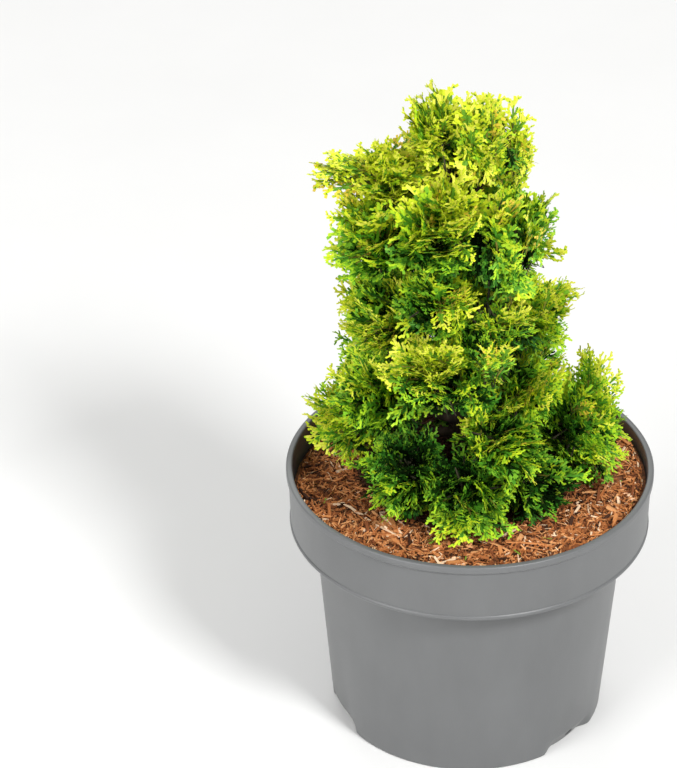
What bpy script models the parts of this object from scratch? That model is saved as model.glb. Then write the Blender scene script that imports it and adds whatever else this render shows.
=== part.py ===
"""Potted golden hinoki cypress: a dwarf conifer of dense, fan-like sprays in a plastic nursery pot.

Metres, +Z up. The origin is the middle of the pot's flat underside, and the plant is seen from -Y.
"""

import math
import random
from collections import namedtuple

import bmesh
import bpy
from mathutils import Matrix, Vector

# Pot
POT_HEIGHT = 0.158
RIM_RADIUS = 0.1035
COLLAR_FOOT_RADIUS = 0.1012
COLLAR_HEIGHT = 0.036
NECK_RADIUS = 0.0880
FOOT_RADIUS = 0.0775
WALL = 0.0018
FLOOR = 0.0030
LIP_WIDTH = 0.0036
LIP_DEPTH = 0.0042
EDGE_ROUND = 0.0010
POT_SEGMENTS = 36
FOOT_NOTCHES = (77.0, 197.0, 317.0)
NOTCH_HALF_ANGLE = 16.0
NOTCH_HEIGHT = 0.0105
NOTCH_DEPTH = 0.0048
NOTCH_SIDE_SHARE = 0.45
DRAIN_RADIUS = 0.0026
DRAIN_HEIGHT = 0.0062
DRAIN_SIDES = 8
DRILL_ENDS = (-0.009, 0.012)

# Soil
CLEAR = 0.0003
MULCH_EDGE = 0.1438
MULCH_CROWN = 0.1465
MULCH_RELIEF = 0.0007
FOOT_FLAT_RADIUS = 0.016
FOOT_FLAT_FADE = 0.020
MULCH_RINGS = (1.0, 0.84, 0.66, 0.48, 0.32)

# Trunk: height, lean in x and y, and radius at stations up the stem
TrunkStation = namedtuple("TrunkStation", "height lean_x lean_y radius")
TRUNK_FOOT = MULCH_CROWN + CLEAR
TRUNK = (
    TrunkStation(TRUNK_FOOT, 0.0000, 0.0000, 0.0120),
    TrunkStation(0.1500, 0.0000, 0.0000, 0.0092),
    TrunkStation(0.1560, -0.0005, 0.0000, 0.0078),
    TrunkStation(0.1750, -0.0020, 0.0003, 0.0070),
    TrunkStation(0.2100, -0.0055, 0.0008, 0.0060),
    TrunkStation(0.2500, -0.0090, 0.0010, 0.0048),
    TrunkStation(0.2900, -0.0105, 0.0005, 0.0037),
    TrunkStation(0.3200, -0.0105, 0.0005, 0.0027),
    TrunkStation(0.3380, -0.0125, 0.0015, 0.0018),
)
TRUNK_SIDES = 10
FLARE_HEIGHT = 0.012
BUTTRESSES = 5
BUTTRESS_SWELL = 0.16

# Foliage: each lobe is an ellipsoid of sprays at x, y and height, with its half width and half height.
# Spurs are long single sprays as (azimuth, elevation, reach from the lobe's middle). A tier's branch_rise
# is how far its lobes stand above their boughs' roots, and spray_lift tilts its sprays up or down.
Lobe = namedtuple("Lobe", "name x y height half_width half_height spurs")
Tier = namedtuple("Tier", "name branch_rise spray_lift lobes")
TIERS = (
    Tier("crown", 0.032, 0.30, (
        Lobe("left", -0.0440, 0.0035, 0.3410, 0.0340, 0.0210, ((178.0, 8.0, 0.0490), (168.0, 24.0, 0.0400))),
        Lobe("leader", -0.0185, 0.0045, 0.3670, 0.0220, 0.0280, ((95.0, 84.0, 0.0290),)),
        Lobe("right", 0.0015, 0.0000, 0.3650, 0.0200, 0.0310, ((60.0, 82.0, 0.0300),)),
        Lobe("spire", 0.0175, 0.0045, 0.3530, 0.0150, 0.0340, ((0.0, 86.0, 0.0350),)),
        Lobe("back", -0.0070, 0.0245, 0.3430, 0.0300, 0.0330, ()),
    )),
    Tier("upper", 0.036, 0.10, (
        Lobe("left", -0.0520, -0.0085, 0.3130, 0.0280, 0.0320, ()),
        Lobe("front_left", -0.0190, -0.0310, 0.3280, 0.0310, 0.0330, ()),
        Lobe("front_right", 0.0100, -0.0270, 0.3140, 0.0250, 0.0430, ()),
        Lobe("right", 0.0260, 0.0065, 0.3040, 0.0240, 0.0340, ((4.0, 50.0, 0.0290),)),
        Lobe("back_left", -0.0340, 0.0315, 0.3030, 0.0330, 0.0390, ()),
        Lobe("back_right", 0.0110, 0.0345, 0.2990, 0.0320, 0.0400, ()),
    )),
    Tier("middle", 0.036, 0.00, (
        Lobe("left", -0.0470, -0.0085, 0.2610, 0.0280, 0.0370, ()),
        Lobe("front_left", -0.0190, -0.0320, 0.2850, 0.0280, 0.0280, ()),
        Lobe("front_right", 0.0070, -0.0370, 0.2640, 0.0230, 0.0380, ()),
        Lobe("right", 0.0300, -0.0015, 0.2590, 0.0280, 0.0340, ((4.0, 26.0, 0.0310),)),
        Lobe("back_left", -0.0400, 0.0315, 0.2520, 0.0310, 0.0350, ()),
        Lobe("back", -0.0040, 0.0420, 0.2430, 0.0350, 0.0380, ()),
    )),
    Tier("shelf", 0.030, -0.15, (
        Lobe("front", -0.0200, -0.0465, 0.2440, 0.0390, 0.0290, ()),
        Lobe("left", -0.0515, -0.0225, 0.2200, 0.0310, 0.0330, ()),
        Lobe("right", 0.0270, -0.0210, 0.2190, 0.0270, 0.0310, ()),
    )),
    Tier("skirt", 0.016, -0.10, (
        Lobe("left", -0.0680, -0.0035, 0.1950, 0.0240, 0.0300, ((186.0, 8.0, 0.0290),)),
        Lobe("front_left", -0.0385, -0.0365, 0.1770, 0.0290, 0.0350, ()),
        Lobe("front", -0.0060, -0.0485, 0.1710, 0.0310, 0.0290, ((262.0, -35.0, 0.0330),)),
        Lobe("front_right", 0.0150, -0.0400, 0.1980, 0.0290, 0.0340, ()),
        Lobe("near_right", 0.0330, -0.0330, 0.1670, 0.0260, 0.0260, ()),
        Lobe("right", 0.0610, -0.0010, 0.1850, 0.0270, 0.0450, ((0.0, 78.0, 0.0450), (5.0, -10.0, 0.0310))),
        Lobe("back_left", -0.0400, 0.0350, 0.1980, 0.0360, 0.0430, ()),
        Lobe("back", 0.0010, 0.0505, 0.1860, 0.0340, 0.0400, ()),
        Lobe("back_right", 0.0330, 0.0340, 0.1960, 0.0290, 0.0400, ()),
    )),
)
LEADER = "crown_leader"

# Boughs
LOWEST_BOUGH = TRUNK_FOOT + 0.010
BOUGH_ROOT_SHARE = 0.42
BOUGH_TIP_RADIUS = 0.0011
BOUGH_SHORTEST_SHARE = 0.35
BOUGH_SAG = 0.05
BOUGH_SIDES = 5
BOUGH_RINGS = 4
STEM_LENGTH = 0.0030

# Masses and sprays. Shares are of the ellipsoid's reach for the core, and of a spray's length for its outline.
LIMB_MARGIN = 0.0006
LOBE_GAP = 0.0006
ROOM_SHARE = 0.97
CORE_SHARE = 0.74
CORE_ROUGHNESS = 0.10
SPRAY_ROOT_SHARE = 0.45
SPRAY_REACH = (1.00, 1.20)
SPRAY_SPACING = 0.0280
SPRAY_TEETH = (-48.0, -17.0, 15.0, 46.0)
SPRAY_FEWEST = 12
TOOTH_FALL = 0.30
GAP_SHARE = 0.60
THICKEST_SHARE = 0.42
ROOT_WIDTH_SHARE = 0.10
SPRAY_THICKNESS = 0.0014
SPRAY_ROLL = 24.0
SPRAY_LEAN = 0.42
SPRAY_HALF_WIDTH = 0.0100
SEED = 7

FOLIAGE_COLOURS = {
    "crown": (0.52, 0.58, 0.03, 1.0),
    "upper": (0.40, 0.52, 0.03, 1.0),
    "middle": (0.26, 0.42, 0.03, 1.0),
    "shelf": (0.36, 0.50, 0.03, 1.0),
    "skirt": (0.17, 0.33, 0.03, 1.0),
}


def clear_scene():
    """Removes whatever the file opened with."""
    for obj in list(bpy.data.objects):
        bpy.data.objects.remove(obj)


def material(name, colour, roughness, metallic=0.0):
    """A Principled material of one colour."""
    made = bpy.data.materials.new(name)
    made.use_nodes = True
    shader = made.node_tree.nodes["Principled BSDF"]
    shader.inputs["Base Color"].default_value = colour
    shader.inputs["Roughness"].default_value = roughness
    shader.inputs["Metallic"].default_value = metallic
    return made


def mesh_object(name, verts, faces, finish, smooth_angle=None):
    """One named object in the scene from points and faces, with its normals facing out."""
    mesh = bpy.data.meshes.new(name)
    mesh.from_pydata([tuple(v) for v in verts], [], faces)
    body = bmesh.new()
    body.from_mesh(mesh)
    bmesh.ops.recalc_face_normals(body, faces=body.faces)
    body.to_mesh(mesh)
    body.free()
    mesh.materials.append(finish)
    if smooth_angle is not None:
        mesh.shade_smooth()
        mesh.set_sharp_from_angle(angle=math.radians(smooth_angle))
    obj = bpy.data.objects.new(name, mesh)
    bpy.context.scene.collection.objects.link(obj)
    return obj


def lofted(rings):
    """Points and faces of a closed skin over rings of equal length, with a flat cap at each end."""
    count = len(rings[0])
    verts = [point for ring in rings for point in ring]
    faces = []
    for level in range(len(rings) - 1):
        low = level * count
        for k in range(count):
            following = (k + 1) % count
            faces.append((low + k, low + following, low + count + following, low + count + k))
    faces.append(tuple(range(count - 1, -1, -1)))
    faces.append(tuple(range(len(verts) - count, len(verts))))
    return verts, faces


def notch_depth(angle, height):
    """How far the pot's wall steps in at a foot notch."""
    if height >= NOTCH_HEIGHT:
        return 0.0
    nearest = min(abs((math.degrees(angle) - a + 180.0) % 360.0 - 180.0) for a in FOOT_NOTCHES)
    share = min(max((NOTCH_HALF_ANGLE - nearest) / (NOTCH_SIDE_SHARE * NOTCH_HALF_ANGLE), 0.0), 1.0)
    return NOTCH_DEPTH * share * (1.0 - height / NOTCH_HEIGHT)


def pot_ring(radius, height):
    """One ring of the pot's wall, drawn in at the foot notches."""
    ring = []
    for k in range(POT_SEGMENTS):
        angle = 2.0 * math.pi * k / POT_SEGMENTS
        reach = radius - notch_depth(angle, height)
        ring.append(Vector((reach * math.cos(angle), reach * math.sin(angle), height)))
    return ring


def circle(radius, height):
    """A level ring with as many points as the pot's."""
    turns = [2.0 * math.pi * k / POT_SEGMENTS for k in range(POT_SEGMENTS)]
    return [Vector((radius * math.cos(t), radius * math.sin(t), height)) for t in turns]


def body_radius(height):
    """The tapering body's outer radius at a height below the collar."""
    return FOOT_RADIUS + (NECK_RADIUS - FOOT_RADIUS) * height / (POT_HEIGHT - COLLAR_HEIGHT)


def build_pot(finish):
    """The thin-walled pot: tapering body, deep collar, rounded lip and three drained foot notches."""
    collar_foot = POT_HEIGHT - COLLAR_HEIGHT
    lip_foot = POT_HEIGHT - LIP_DEPTH
    lip_inner = RIM_RADIUS - LIP_WIDTH
    outside = [
        (FOOT_RADIUS - EDGE_ROUND, 0.0),
        (FOOT_RADIUS, EDGE_ROUND),
        (body_radius(NOTCH_HEIGHT), NOTCH_HEIGHT),
        (NECK_RADIUS, collar_foot + EDGE_ROUND),
        (COLLAR_FOOT_RADIUS - EDGE_ROUND, collar_foot),
        (COLLAR_FOOT_RADIUS, collar_foot + EDGE_ROUND),
        (RIM_RADIUS - EDGE_ROUND, lip_foot),
        (RIM_RADIUS, lip_foot + EDGE_ROUND),
        (RIM_RADIUS, POT_HEIGHT - EDGE_ROUND),
        (RIM_RADIUS - EDGE_ROUND, POT_HEIGHT),
    ]
    inside = [
        (lip_inner + EDGE_ROUND, POT_HEIGHT),
        (lip_inner, POT_HEIGHT - EDGE_ROUND),
        (lip_inner, lip_foot),
        (COLLAR_FOOT_RADIUS - WALL, collar_foot + WALL),
        (NECK_RADIUS - WALL, collar_foot + WALL),
        (body_radius(NOTCH_HEIGHT) - WALL, NOTCH_HEIGHT),
        (body_radius(FLOOR) - WALL, FLOOR),
    ]
    rings = [pot_ring(radius, height) for radius, height in outside + inside]
    verts, faces = lofted(rings)
    pot = mesh_object("pot", verts, faces, finish, smooth_angle=35.0)
    drill = drain_drills(finish)
    cut = pot.modifiers.new("drains", "BOOLEAN")
    cut.operation = "DIFFERENCE"
    cut.object = drill
    apply_modifiers(pot)
    bpy.data.objects.remove(drill)
    return pot


def drain_drills(finish):
    """Three short rods, one through the slope of each foot notch, joined as one cutter."""
    verts, faces = [], []
    for degrees in FOOT_NOTCHES:
        angle = math.radians(degrees)
        outward = Vector((math.cos(angle), math.sin(angle), 0.0))
        across = Vector((-math.sin(angle), math.cos(angle), 0.0))
        middle = outward * (FOOT_RADIUS - NOTCH_DEPTH * 0.5) + Vector((0.0, 0.0, DRAIN_HEIGHT))
        rings = []
        for travel in DRILL_ENDS:
            ring = []
            for k in range(DRAIN_SIDES):
                turn = 2.0 * math.pi * (k + 0.5) / DRAIN_SIDES
                offset = across * math.cos(turn) + Vector((0.0, 0.0, math.sin(turn)))
                ring.append(middle + outward * travel + offset * DRAIN_RADIUS)
            rings.append(ring)
        more_verts, more_faces = lofted(rings)
        faces += [tuple(i + len(verts) for i in face) for face in more_faces]
        verts += more_verts
    drill = mesh_object("drain_drills", verts, faces, finish)
    drill.hide_render = True
    drill.display_type = "WIRE"
    return drill


def apply_modifiers(obj):
    """Bakes the object's modifiers into its own mesh."""
    graph = bpy.context.evaluated_depsgraph_get()
    mesh = bpy.data.meshes.new_from_object(obj.evaluated_get(graph))
    mesh.name = obj.name
    obj.modifiers.clear()
    obj.data = mesh


def mulch_height(radius, angle):
    """The uneven top of the bark mulch, flat round the trunk's foot."""
    edge = COLLAR_FOOT_RADIUS - WALL - CLEAR
    share = radius / edge
    mound = MULCH_CROWN + (MULCH_EDGE - MULCH_CROWN) * share**2
    waves = math.sin(3.0 * angle + 9.0 * share) + 0.6 * math.sin(7.0 * angle - 14.0 * share)
    fade = min(max((radius - FOOT_FLAT_RADIUS) / FOOT_FLAT_FADE, 0.0), 1.0)
    return mound + MULCH_RELIEF * (waves - 0.8) * fade


def build_soil(finish):
    """The potting soil with its bark mulch, as one body that rests on the floor and the collar's ledge."""
    above_notches = NOTCH_HEIGHT + WALL
    ledge = POT_HEIGHT - COLLAR_HEIGHT + WALL + CLEAR
    edge = COLLAR_FOOT_RADIUS - WALL - CLEAR
    rings = [
        circle(FOOT_RADIUS - NOTCH_DEPTH - 2.0 * WALL, FLOOR + CLEAR),
        circle(body_radius(above_notches) - WALL - CLEAR, above_notches),
        circle(NECK_RADIUS - WALL - CLEAR, ledge),
        circle(edge, ledge),
    ]
    for share in MULCH_RINGS:
        ring = circle(edge * share, 0.0)
        for k, point in enumerate(ring):
            point.z = mulch_height(edge * share, 2.0 * math.pi * k / POT_SEGMENTS)
        rings.append(ring)
    rings.append(circle(FOOT_FLAT_RADIUS, MULCH_CROWN))
    verts, faces = lofted(rings)
    return mesh_object("soil", verts, faces, finish, smooth_angle=60.0)


def limb_skin(points, headings, radii):
    """Points and faces of a round limb through the given points, with a flat cap at each end."""
    way = (points[-1] - points[0]).normalized()
    reference = Vector((0.0, 0.0, 1.0)) if abs(way.z) < 0.85 else Vector((0.0, 1.0, 0.0))
    rings = []
    for point, heading, radius in zip(points, headings, radii):
        side = heading.cross(reference).normalized()
        up = heading.cross(side).normalized()
        turns = [2.0 * math.pi * k / BOUGH_SIDES for k in range(BOUGH_SIDES)]
        rings.append([point + (side * math.cos(t) + up * math.sin(t)) * radius for t in turns])
    return lofted(rings)


def trunk_at(height):
    """The trunk's middle and radius at a height."""
    height = min(max(height, TRUNK[0].height), TRUNK[-1].height)
    for low, high in zip(TRUNK, TRUNK[1:]):
        if height <= high.height:
            share = (height - low.height) / (high.height - low.height)
            middle = Vector((
                low.lean_x + (high.lean_x - low.lean_x) * share,
                low.lean_y + (high.lean_y - low.lean_y) * share,
                height,
            ))
            return middle, low.radius + (high.radius - low.radius) * share
    return None


def build_trunk(finish):
    """The tapering trunk, from its flared foot to its tip, with shallow buttresses at the ground."""
    rings = []
    for station in TRUNK:
        ring = []
        flare = max(0.0, 1.0 - (station.height - TRUNK_FOOT) / FLARE_HEIGHT)
        for k in range(TRUNK_SIDES):
            turn = 2.0 * math.pi * k / TRUNK_SIDES
            reach = station.radius * (1.0 + BUTTRESS_SWELL * flare * math.cos(BUTTRESSES * turn))
            ring.append(Vector((
                station.lean_x + reach * math.cos(turn),
                station.lean_y + reach * math.sin(turn),
                station.height,
            )))
        rings.append(ring)
    verts, faces = lofted(rings)
    return mesh_object("trunk", verts, faces, finish, smooth_angle=50.0)


class Mass:
    """One mass of foliage: its place, its bough from the trunk, and the walls of the space it keeps to."""

    def __init__(self, tier, lobe):
        self.tier = tier
        self.name = f"{tier.name}_{lobe.name}"
        self.centre = Vector((lobe.x, lobe.y, lobe.height))
        self.size = Vector((lobe.half_width, lobe.half_width, lobe.half_height))
        self.spurs = lobe.spurs
        self.walls = []
        self.bough = []
        self.tip_direction = Vector((0.0, 0.0, 1.0))

    def extent(self, direction):
        """How far the ellipsoid reaches towards a tangent plane square to a direction."""
        return Vector([s * d for s, d in zip(self.size, direction)]).length

    def reach(self, direction):
        """The distance from the middle to the ellipsoid's surface along a direction."""
        return 1.0 / Vector([d / s for s, d in zip(self.size, direction)]).length

    def room(self, direction):
        """The distance from the middle to the nearest wall along a direction."""
        nearest = 1.0
        for normal, offset in self.walls:
            slope = normal.dot(direction)
            if slope > 1e-6:
                nearest = min(nearest, (offset - normal.dot(self.centre)) / slope)
        return nearest

    def holds(self, points):
        """True if all the points lie within the walls."""
        return all(normal.dot(p) <= offset for normal, offset in self.walls for p in points)


def bough_course(mass):
    """Stations (point, radius) of the bough that carries a mass, and the way it leaves the trunk."""
    root_height = max(mass.centre.z - mass.tier.branch_rise, LOWEST_BOUGH)
    middle, trunk_radius = trunk_at(root_height)
    outward = Vector((mass.centre.x - middle.x, mass.centre.y - middle.y, 0.0)).normalized()
    root = middle + outward * (trunk_radius + 2.0 * CLEAR)
    root_radius = max(trunk_radius * BOUGH_ROOT_SHARE, BOUGH_TIP_RADIUS)
    way = mass.centre - root
    core = mass.reach(-way.normalized()) * CORE_SHARE
    length = max(way.length - core - STEM_LENGTH, BOUGH_SHORTEST_SHARE * way.length)
    tip = root + way * (length / way.length)
    stations = []
    for step in range(BOUGH_RINGS):
        share = step / (BOUGH_RINGS - 1)
        sag = 4.0 * share * (1.0 - share) * BOUGH_SAG * (tip - root).length
        point = root.lerp(tip, share) - Vector((0.0, 0.0, sag))
        stations.append((point, root_radius + (BOUGH_TIP_RADIUS - root_radius) * share))
    return stations, outward


def build_bough(mass, finish):
    """One tapering limb from the trunk to its mass, or none for the leader, which tops the trunk."""
    if mass.name == LEADER:
        mass.bough = [trunk_at(TRUNK[-1].height)]
        return None
    stations, outward = bough_course(mass)
    mass.bough = stations
    points = [point for point, _ in stations]
    mass.tip_direction = (points[-1] - points[-2]).normalized()
    headings = [outward]
    headings += [(after - before).normalized() for before, after in zip(points, points[2:])]
    headings.append(mass.tip_direction)
    verts, faces = limb_skin(points, headings, [radius for _, radius in stations])
    return mesh_object(f"bough_{mass.name}", verts, faces, finish, smooth_angle=50.0)


def nearest_on(start, end, point):
    """The point of a straight run that is nearest to a given point."""
    run = end - start
    share = min(max((point - start).dot(run) / run.length_squared, 0.0), 1.0)
    return start + run * share


def limb_wall(mass, start, end, radius):
    """A wall that keeps a mass on its own side of a straight run of limb."""
    foot = nearest_on(start, end, mass.centre)
    normal = (foot - mass.centre).normalized()
    return normal, normal.dot(foot) - radius - LIMB_MARGIN


def raise_walls(masses):
    """Gives each mass the flat walls between it and its neighbours, the limbs and the mulch."""
    for mass in masses:
        walls = [(Vector((0.0, 0.0, -1.0)), -(MULCH_CROWN + LOBE_GAP))]
        for other in masses:
            if other is mass:
                continue
            between = other.centre - mass.centre
            normal = between.normalized()
            own = mass.extent(normal)
            share = own / (own + other.extent(normal))
            walls.append((normal, normal.dot(mass.centre) + between.length * share - LOBE_GAP / 2))
        for low, high in zip(TRUNK, TRUNK[1:]):
            ends = [Vector((s.lean_x, s.lean_y, s.height)) for s in (low, high)]
            walls.append(limb_wall(mass, *ends, low.radius if mass.name != LEADER else 0.0))
        for other in masses:
            for (start, radius), (end, _) in zip(other.bough, other.bough[1:]):
                walls.append(limb_wall(mass, start, end, radius if other is not mass else 0.0))
        mass.walls = walls


def core_of(mass, rng, finish):
    """The dense middle of a mass: a rough rounded body that stays inside its walls."""
    body = bmesh.new()
    bmesh.ops.create_icosphere(body, subdivisions=2, radius=1.0)
    for vert in body.verts:
        direction = vert.co.normalized()
        rough = 1.0 + rng.uniform(-CORE_ROUGHNESS, CORE_ROUGHNESS)
        reach = min(mass.reach(direction) * CORE_SHARE * rough, mass.room(direction) * ROOM_SHARE)
        vert.co = mass.centre + direction * reach
    mesh = bpy.data.meshes.new(f"foliage_{mass.name}")
    body.to_mesh(mesh)
    body.free()
    mesh.materials.append(finish)
    obj = bpy.data.objects.new(f"foliage_{mass.name}", mesh)
    bpy.context.scene.collection.objects.link(obj)
    return obj


def stem_of(mass, finish):
    """The short stem that meets the bough's tip and runs into the core."""
    tip, radius = mass.bough[-1]
    start = tip + mass.tip_direction * CLEAR
    bend = tip + mass.tip_direction * STEM_LENGTH
    end = mass.centre
    headings = (mass.tip_direction, (end - start).normalized(), (end - bend).normalized())
    verts, faces = limb_skin((start, bend, end), headings, (radius, radius * 0.95, radius * 0.8))
    return mesh_object(f"stem_{mass.name}", verts, faces, finish)


def spray_axes(direction, heading, rng):
    """The width and thickness axes of a spray: it lies like a shingle on its mass, rolled by chance."""
    normal = direction - heading * direction.dot(heading)
    if normal.length < 0.25:
        normal = Vector((0.0, 0.0, 1.0)) - heading * heading.z
    if normal.length < 0.25:
        normal = heading.orthogonal()
    roll = math.radians(rng.uniform(-SPRAY_ROLL, SPRAY_ROLL))
    normal = Matrix.Rotation(roll, 3, heading) @ normal.normalized()
    return normal.cross(heading).normalized(), normal


def spray_skin(root, heading, across, normal, length):
    """Points and faces of one toothed fan: a flat flake with pointed teeth and a thicker middle."""
    half_root = ROOT_WIDTH_SHARE * length
    outline = [(0.0, half_root), (0.0, -half_root)]
    spread = min(1.0, 2.0 * SPRAY_HALF_WIDTH / length)
    for k, degrees in enumerate(SPRAY_TEETH):
        angle = math.radians(degrees)
        tooth = length * (1.0 - TOOTH_FALL * (degrees / SPRAY_TEETH[0]) ** 2)
        outline.append((tooth * math.cos(angle), tooth * math.sin(angle) * spread))
        if k + 1 < len(SPRAY_TEETH):
            between = math.radians((degrees + SPRAY_TEETH[k + 1]) / 2.0)
            gap = GAP_SHARE * length
            outline.append((gap * math.cos(between), gap * math.sin(between) * spread))
    verts = [root + heading * x + across * y for x, y in outline]
    middle = root + heading * (THICKEST_SHARE * length)
    verts += [middle + normal * (SPRAY_THICKNESS / 2), middle - normal * (SPRAY_THICKNESS / 2)]
    count = len(outline)
    faces = []
    for k in range(count):
        following = (k + 1) % count
        faces.append((k, following, count))
        faces.append((following, k, count + 1))
    return verts, faces


def spray_seats(mass, rng):
    """Evenly spread seats over a mass, on the golden spiral, each with its heading and reach."""
    area = 4.0 * math.pi * (mass.size.x * mass.size.x * mass.size.z) ** (2.0 / 3.0)
    count = max(int(area / SPRAY_SPACING**2), SPRAY_FEWEST)
    golden = math.pi * (3.0 - math.sqrt(5.0))
    spin = rng.uniform(0.0, 2.0 * math.pi)
    growth = (mass.tip_direction + Vector((0.0, 0.0, mass.tier.spray_lift))).normalized()
    found = []
    for k in range(count):
        z = 1.0 - 2.0 * (k + 0.5) / count
        radius = math.sqrt(1.0 - z * z)
        turn = golden * k + spin
        direction = Vector((radius * math.cos(turn), radius * math.sin(turn), z))
        heading = direction.lerp(growth, SPRAY_LEAN).normalized()
        found.append((direction, heading, mass.reach(direction) * rng.uniform(*SPRAY_REACH)))
    for azimuth, elevation, reach in mass.spurs:
        a, e = math.radians(azimuth), math.radians(elevation)
        direction = Vector((math.cos(a) * math.cos(e), math.sin(a) * math.cos(e), math.sin(e)))
        found.append((direction, direction, reach))
    return found


def sprays_of(mass, rng, finish):
    """The toothed sprays that stand out of a mass, with those that would leave its space skipped."""
    made = []
    for direction, heading, reach in spray_seats(mass, rng):
        seat = min(mass.reach(direction) * CORE_SHARE, mass.room(direction) * ROOM_SHARE)
        root = mass.centre + direction * (seat * SPRAY_ROOT_SHARE)
        across, normal = spray_axes(direction, heading, rng)
        length = reach - seat * SPRAY_ROOT_SHARE
        verts, faces = spray_skin(root, heading, across, normal, length)
        if mass.holds(verts):
            made.append(mesh_object(f"spray_{mass.name}_{len(made)}", verts, faces, finish))
    return made


def keep_largest_shell(obj):
    """Drops loose scraps and the walls of sealed hollows, so one outer skin is left."""
    body = bmesh.new()
    body.from_mesh(obj.data)
    left = set(body.faces)
    shells = []
    while left:
        shell, edge = [], [left.pop()]
        while edge:
            face = edge.pop()
            shell.append(face)
            near = {other for e in face.edges for other in e.link_faces} & left
            left -= near
            edge.extend(near)
        shells.append(shell)
    shells.sort(key=len)
    for shell in shells[:-1]:
        bmesh.ops.delete(body, geom=shell, context="FACES")
    body.to_mesh(obj.data)
    body.free()


def build_foliage(mass, rng, finish):
    """One mass of foliage: core, stem and sprays fused into one body."""
    core = core_of(mass, rng, finish)
    members = [stem_of(mass, finish)] + sprays_of(mass, rng, finish)
    joined = bpy.data.collections.new(f"members_{mass.name}")
    for member in members:
        joined.objects.link(member)
    fuse = core.modifiers.new("fuse", "BOOLEAN")
    fuse.operation = "UNION"
    fuse.operand_type = "COLLECTION"
    fuse.collection = joined
    fuse.solver = "EXACT"
    apply_modifiers(core)
    keep_largest_shell(core)
    for member in members:
        bpy.data.objects.remove(member)
    bpy.data.collections.remove(joined)
    return core


def main():
    """Builds the pot, the soil, the trunk, and each bough with its foliage."""
    clear_scene()
    plastic = material("pot_plastic", (0.22, 0.23, 0.235, 1.0), 0.45)
    mulch = material("bark_mulch", (0.30, 0.11, 0.045, 1.0), 0.9)
    bark = material("stem_bark", (0.16, 0.085, 0.045, 1.0), 0.85)
    foliage = {name: material(f"foliage_{name}", c, 0.55) for name, c in FOLIAGE_COLOURS.items()}
    build_pot(plastic)
    build_soil(mulch)
    build_trunk(bark)
    masses = [Mass(tier, lobe) for tier in TIERS for lobe in tier.lobes]
    for mass in masses:
        build_bough(mass, bark)
    raise_walls(masses)
    for number, mass in enumerate(masses):
        rng = random.Random(SEED * 1000 + number)
        build_foliage(mass, rng, foliage[mass.tier.name])


main()
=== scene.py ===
"""Looks of a potted golden hinoki cypress: leafy sprays, bark, shredded mulch and a grey plastic pot.

Metres, +Z up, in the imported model's own frame. Each mass of foliage grows by the rule of the part's source,
carried on to finer twigs and sprays within the same reach.
"""

from __future__ import annotations

import logging
import math
import random
from dataclasses import dataclass, field
from enum import Enum, IntEnum

import bpy
import numpy as np
from bpy.types import Material, Mesh, Node, NodeSocket, NodeTree, Object
from mathutils import Matrix, Vector, noise

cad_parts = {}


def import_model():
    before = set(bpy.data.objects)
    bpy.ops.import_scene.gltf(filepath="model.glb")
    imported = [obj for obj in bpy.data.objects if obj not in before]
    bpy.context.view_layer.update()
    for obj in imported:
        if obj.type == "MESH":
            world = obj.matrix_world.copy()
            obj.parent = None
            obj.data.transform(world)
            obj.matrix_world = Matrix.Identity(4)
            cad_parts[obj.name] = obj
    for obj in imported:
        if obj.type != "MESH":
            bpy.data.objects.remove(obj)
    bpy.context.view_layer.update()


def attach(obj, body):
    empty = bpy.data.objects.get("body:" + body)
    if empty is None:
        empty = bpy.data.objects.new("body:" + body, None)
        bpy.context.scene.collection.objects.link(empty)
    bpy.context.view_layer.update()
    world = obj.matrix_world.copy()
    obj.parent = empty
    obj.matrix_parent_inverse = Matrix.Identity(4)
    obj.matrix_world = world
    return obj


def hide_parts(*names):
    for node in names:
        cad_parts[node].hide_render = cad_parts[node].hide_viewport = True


LOG = logging.getLogger("hinoki_cypress")
BODY = "root"
UP = Vector((0.0, 0.0, 1.0))
GOLDEN_ANGLE = math.pi * (3.0 - math.sqrt(5.0))
SEED = 7

Triple = tuple[float, float, float]
Spine = list[tuple[Vector, float]]
Skin = tuple[list[Vector], list[tuple[int, ...]]]


class Part(IntEnum):
    """The places on a spray that take finishes of their own."""

    TWIG = 0
    INNER = 1
    OUTER = 2
    TIP = 3


class Detail(Enum):
    """How finely a spray is cut: how many patterns it has, their first seed, and their twiglets and teeth."""

    FINE = (8, 100, 8, 0.0024, 0.0044, 0.0014)
    BROAD = (8, 150, 7, 0.0029, 0.0052, 0.0020)
    MEDIUM = (5, 200, 6, 0.0046, 0.0066, 0.0024)
    COARSE = (3, 300, 5, 0.0200, 0.0070, 0.0038)


@dataclass(frozen=True)
class LeafFinish:
    """A plain colour of living foliage, dealt out by spray."""

    name: str
    colour: Triple
    roughness: float = 0.5
    specular: float = 0.22

    def material(self) -> Material:
        """The finish as a material, made on its first use."""
        found = bpy.data.materials.get(self.name)
        return found or plain_material(self.name, self.colour, self.roughness, self.specular)


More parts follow.
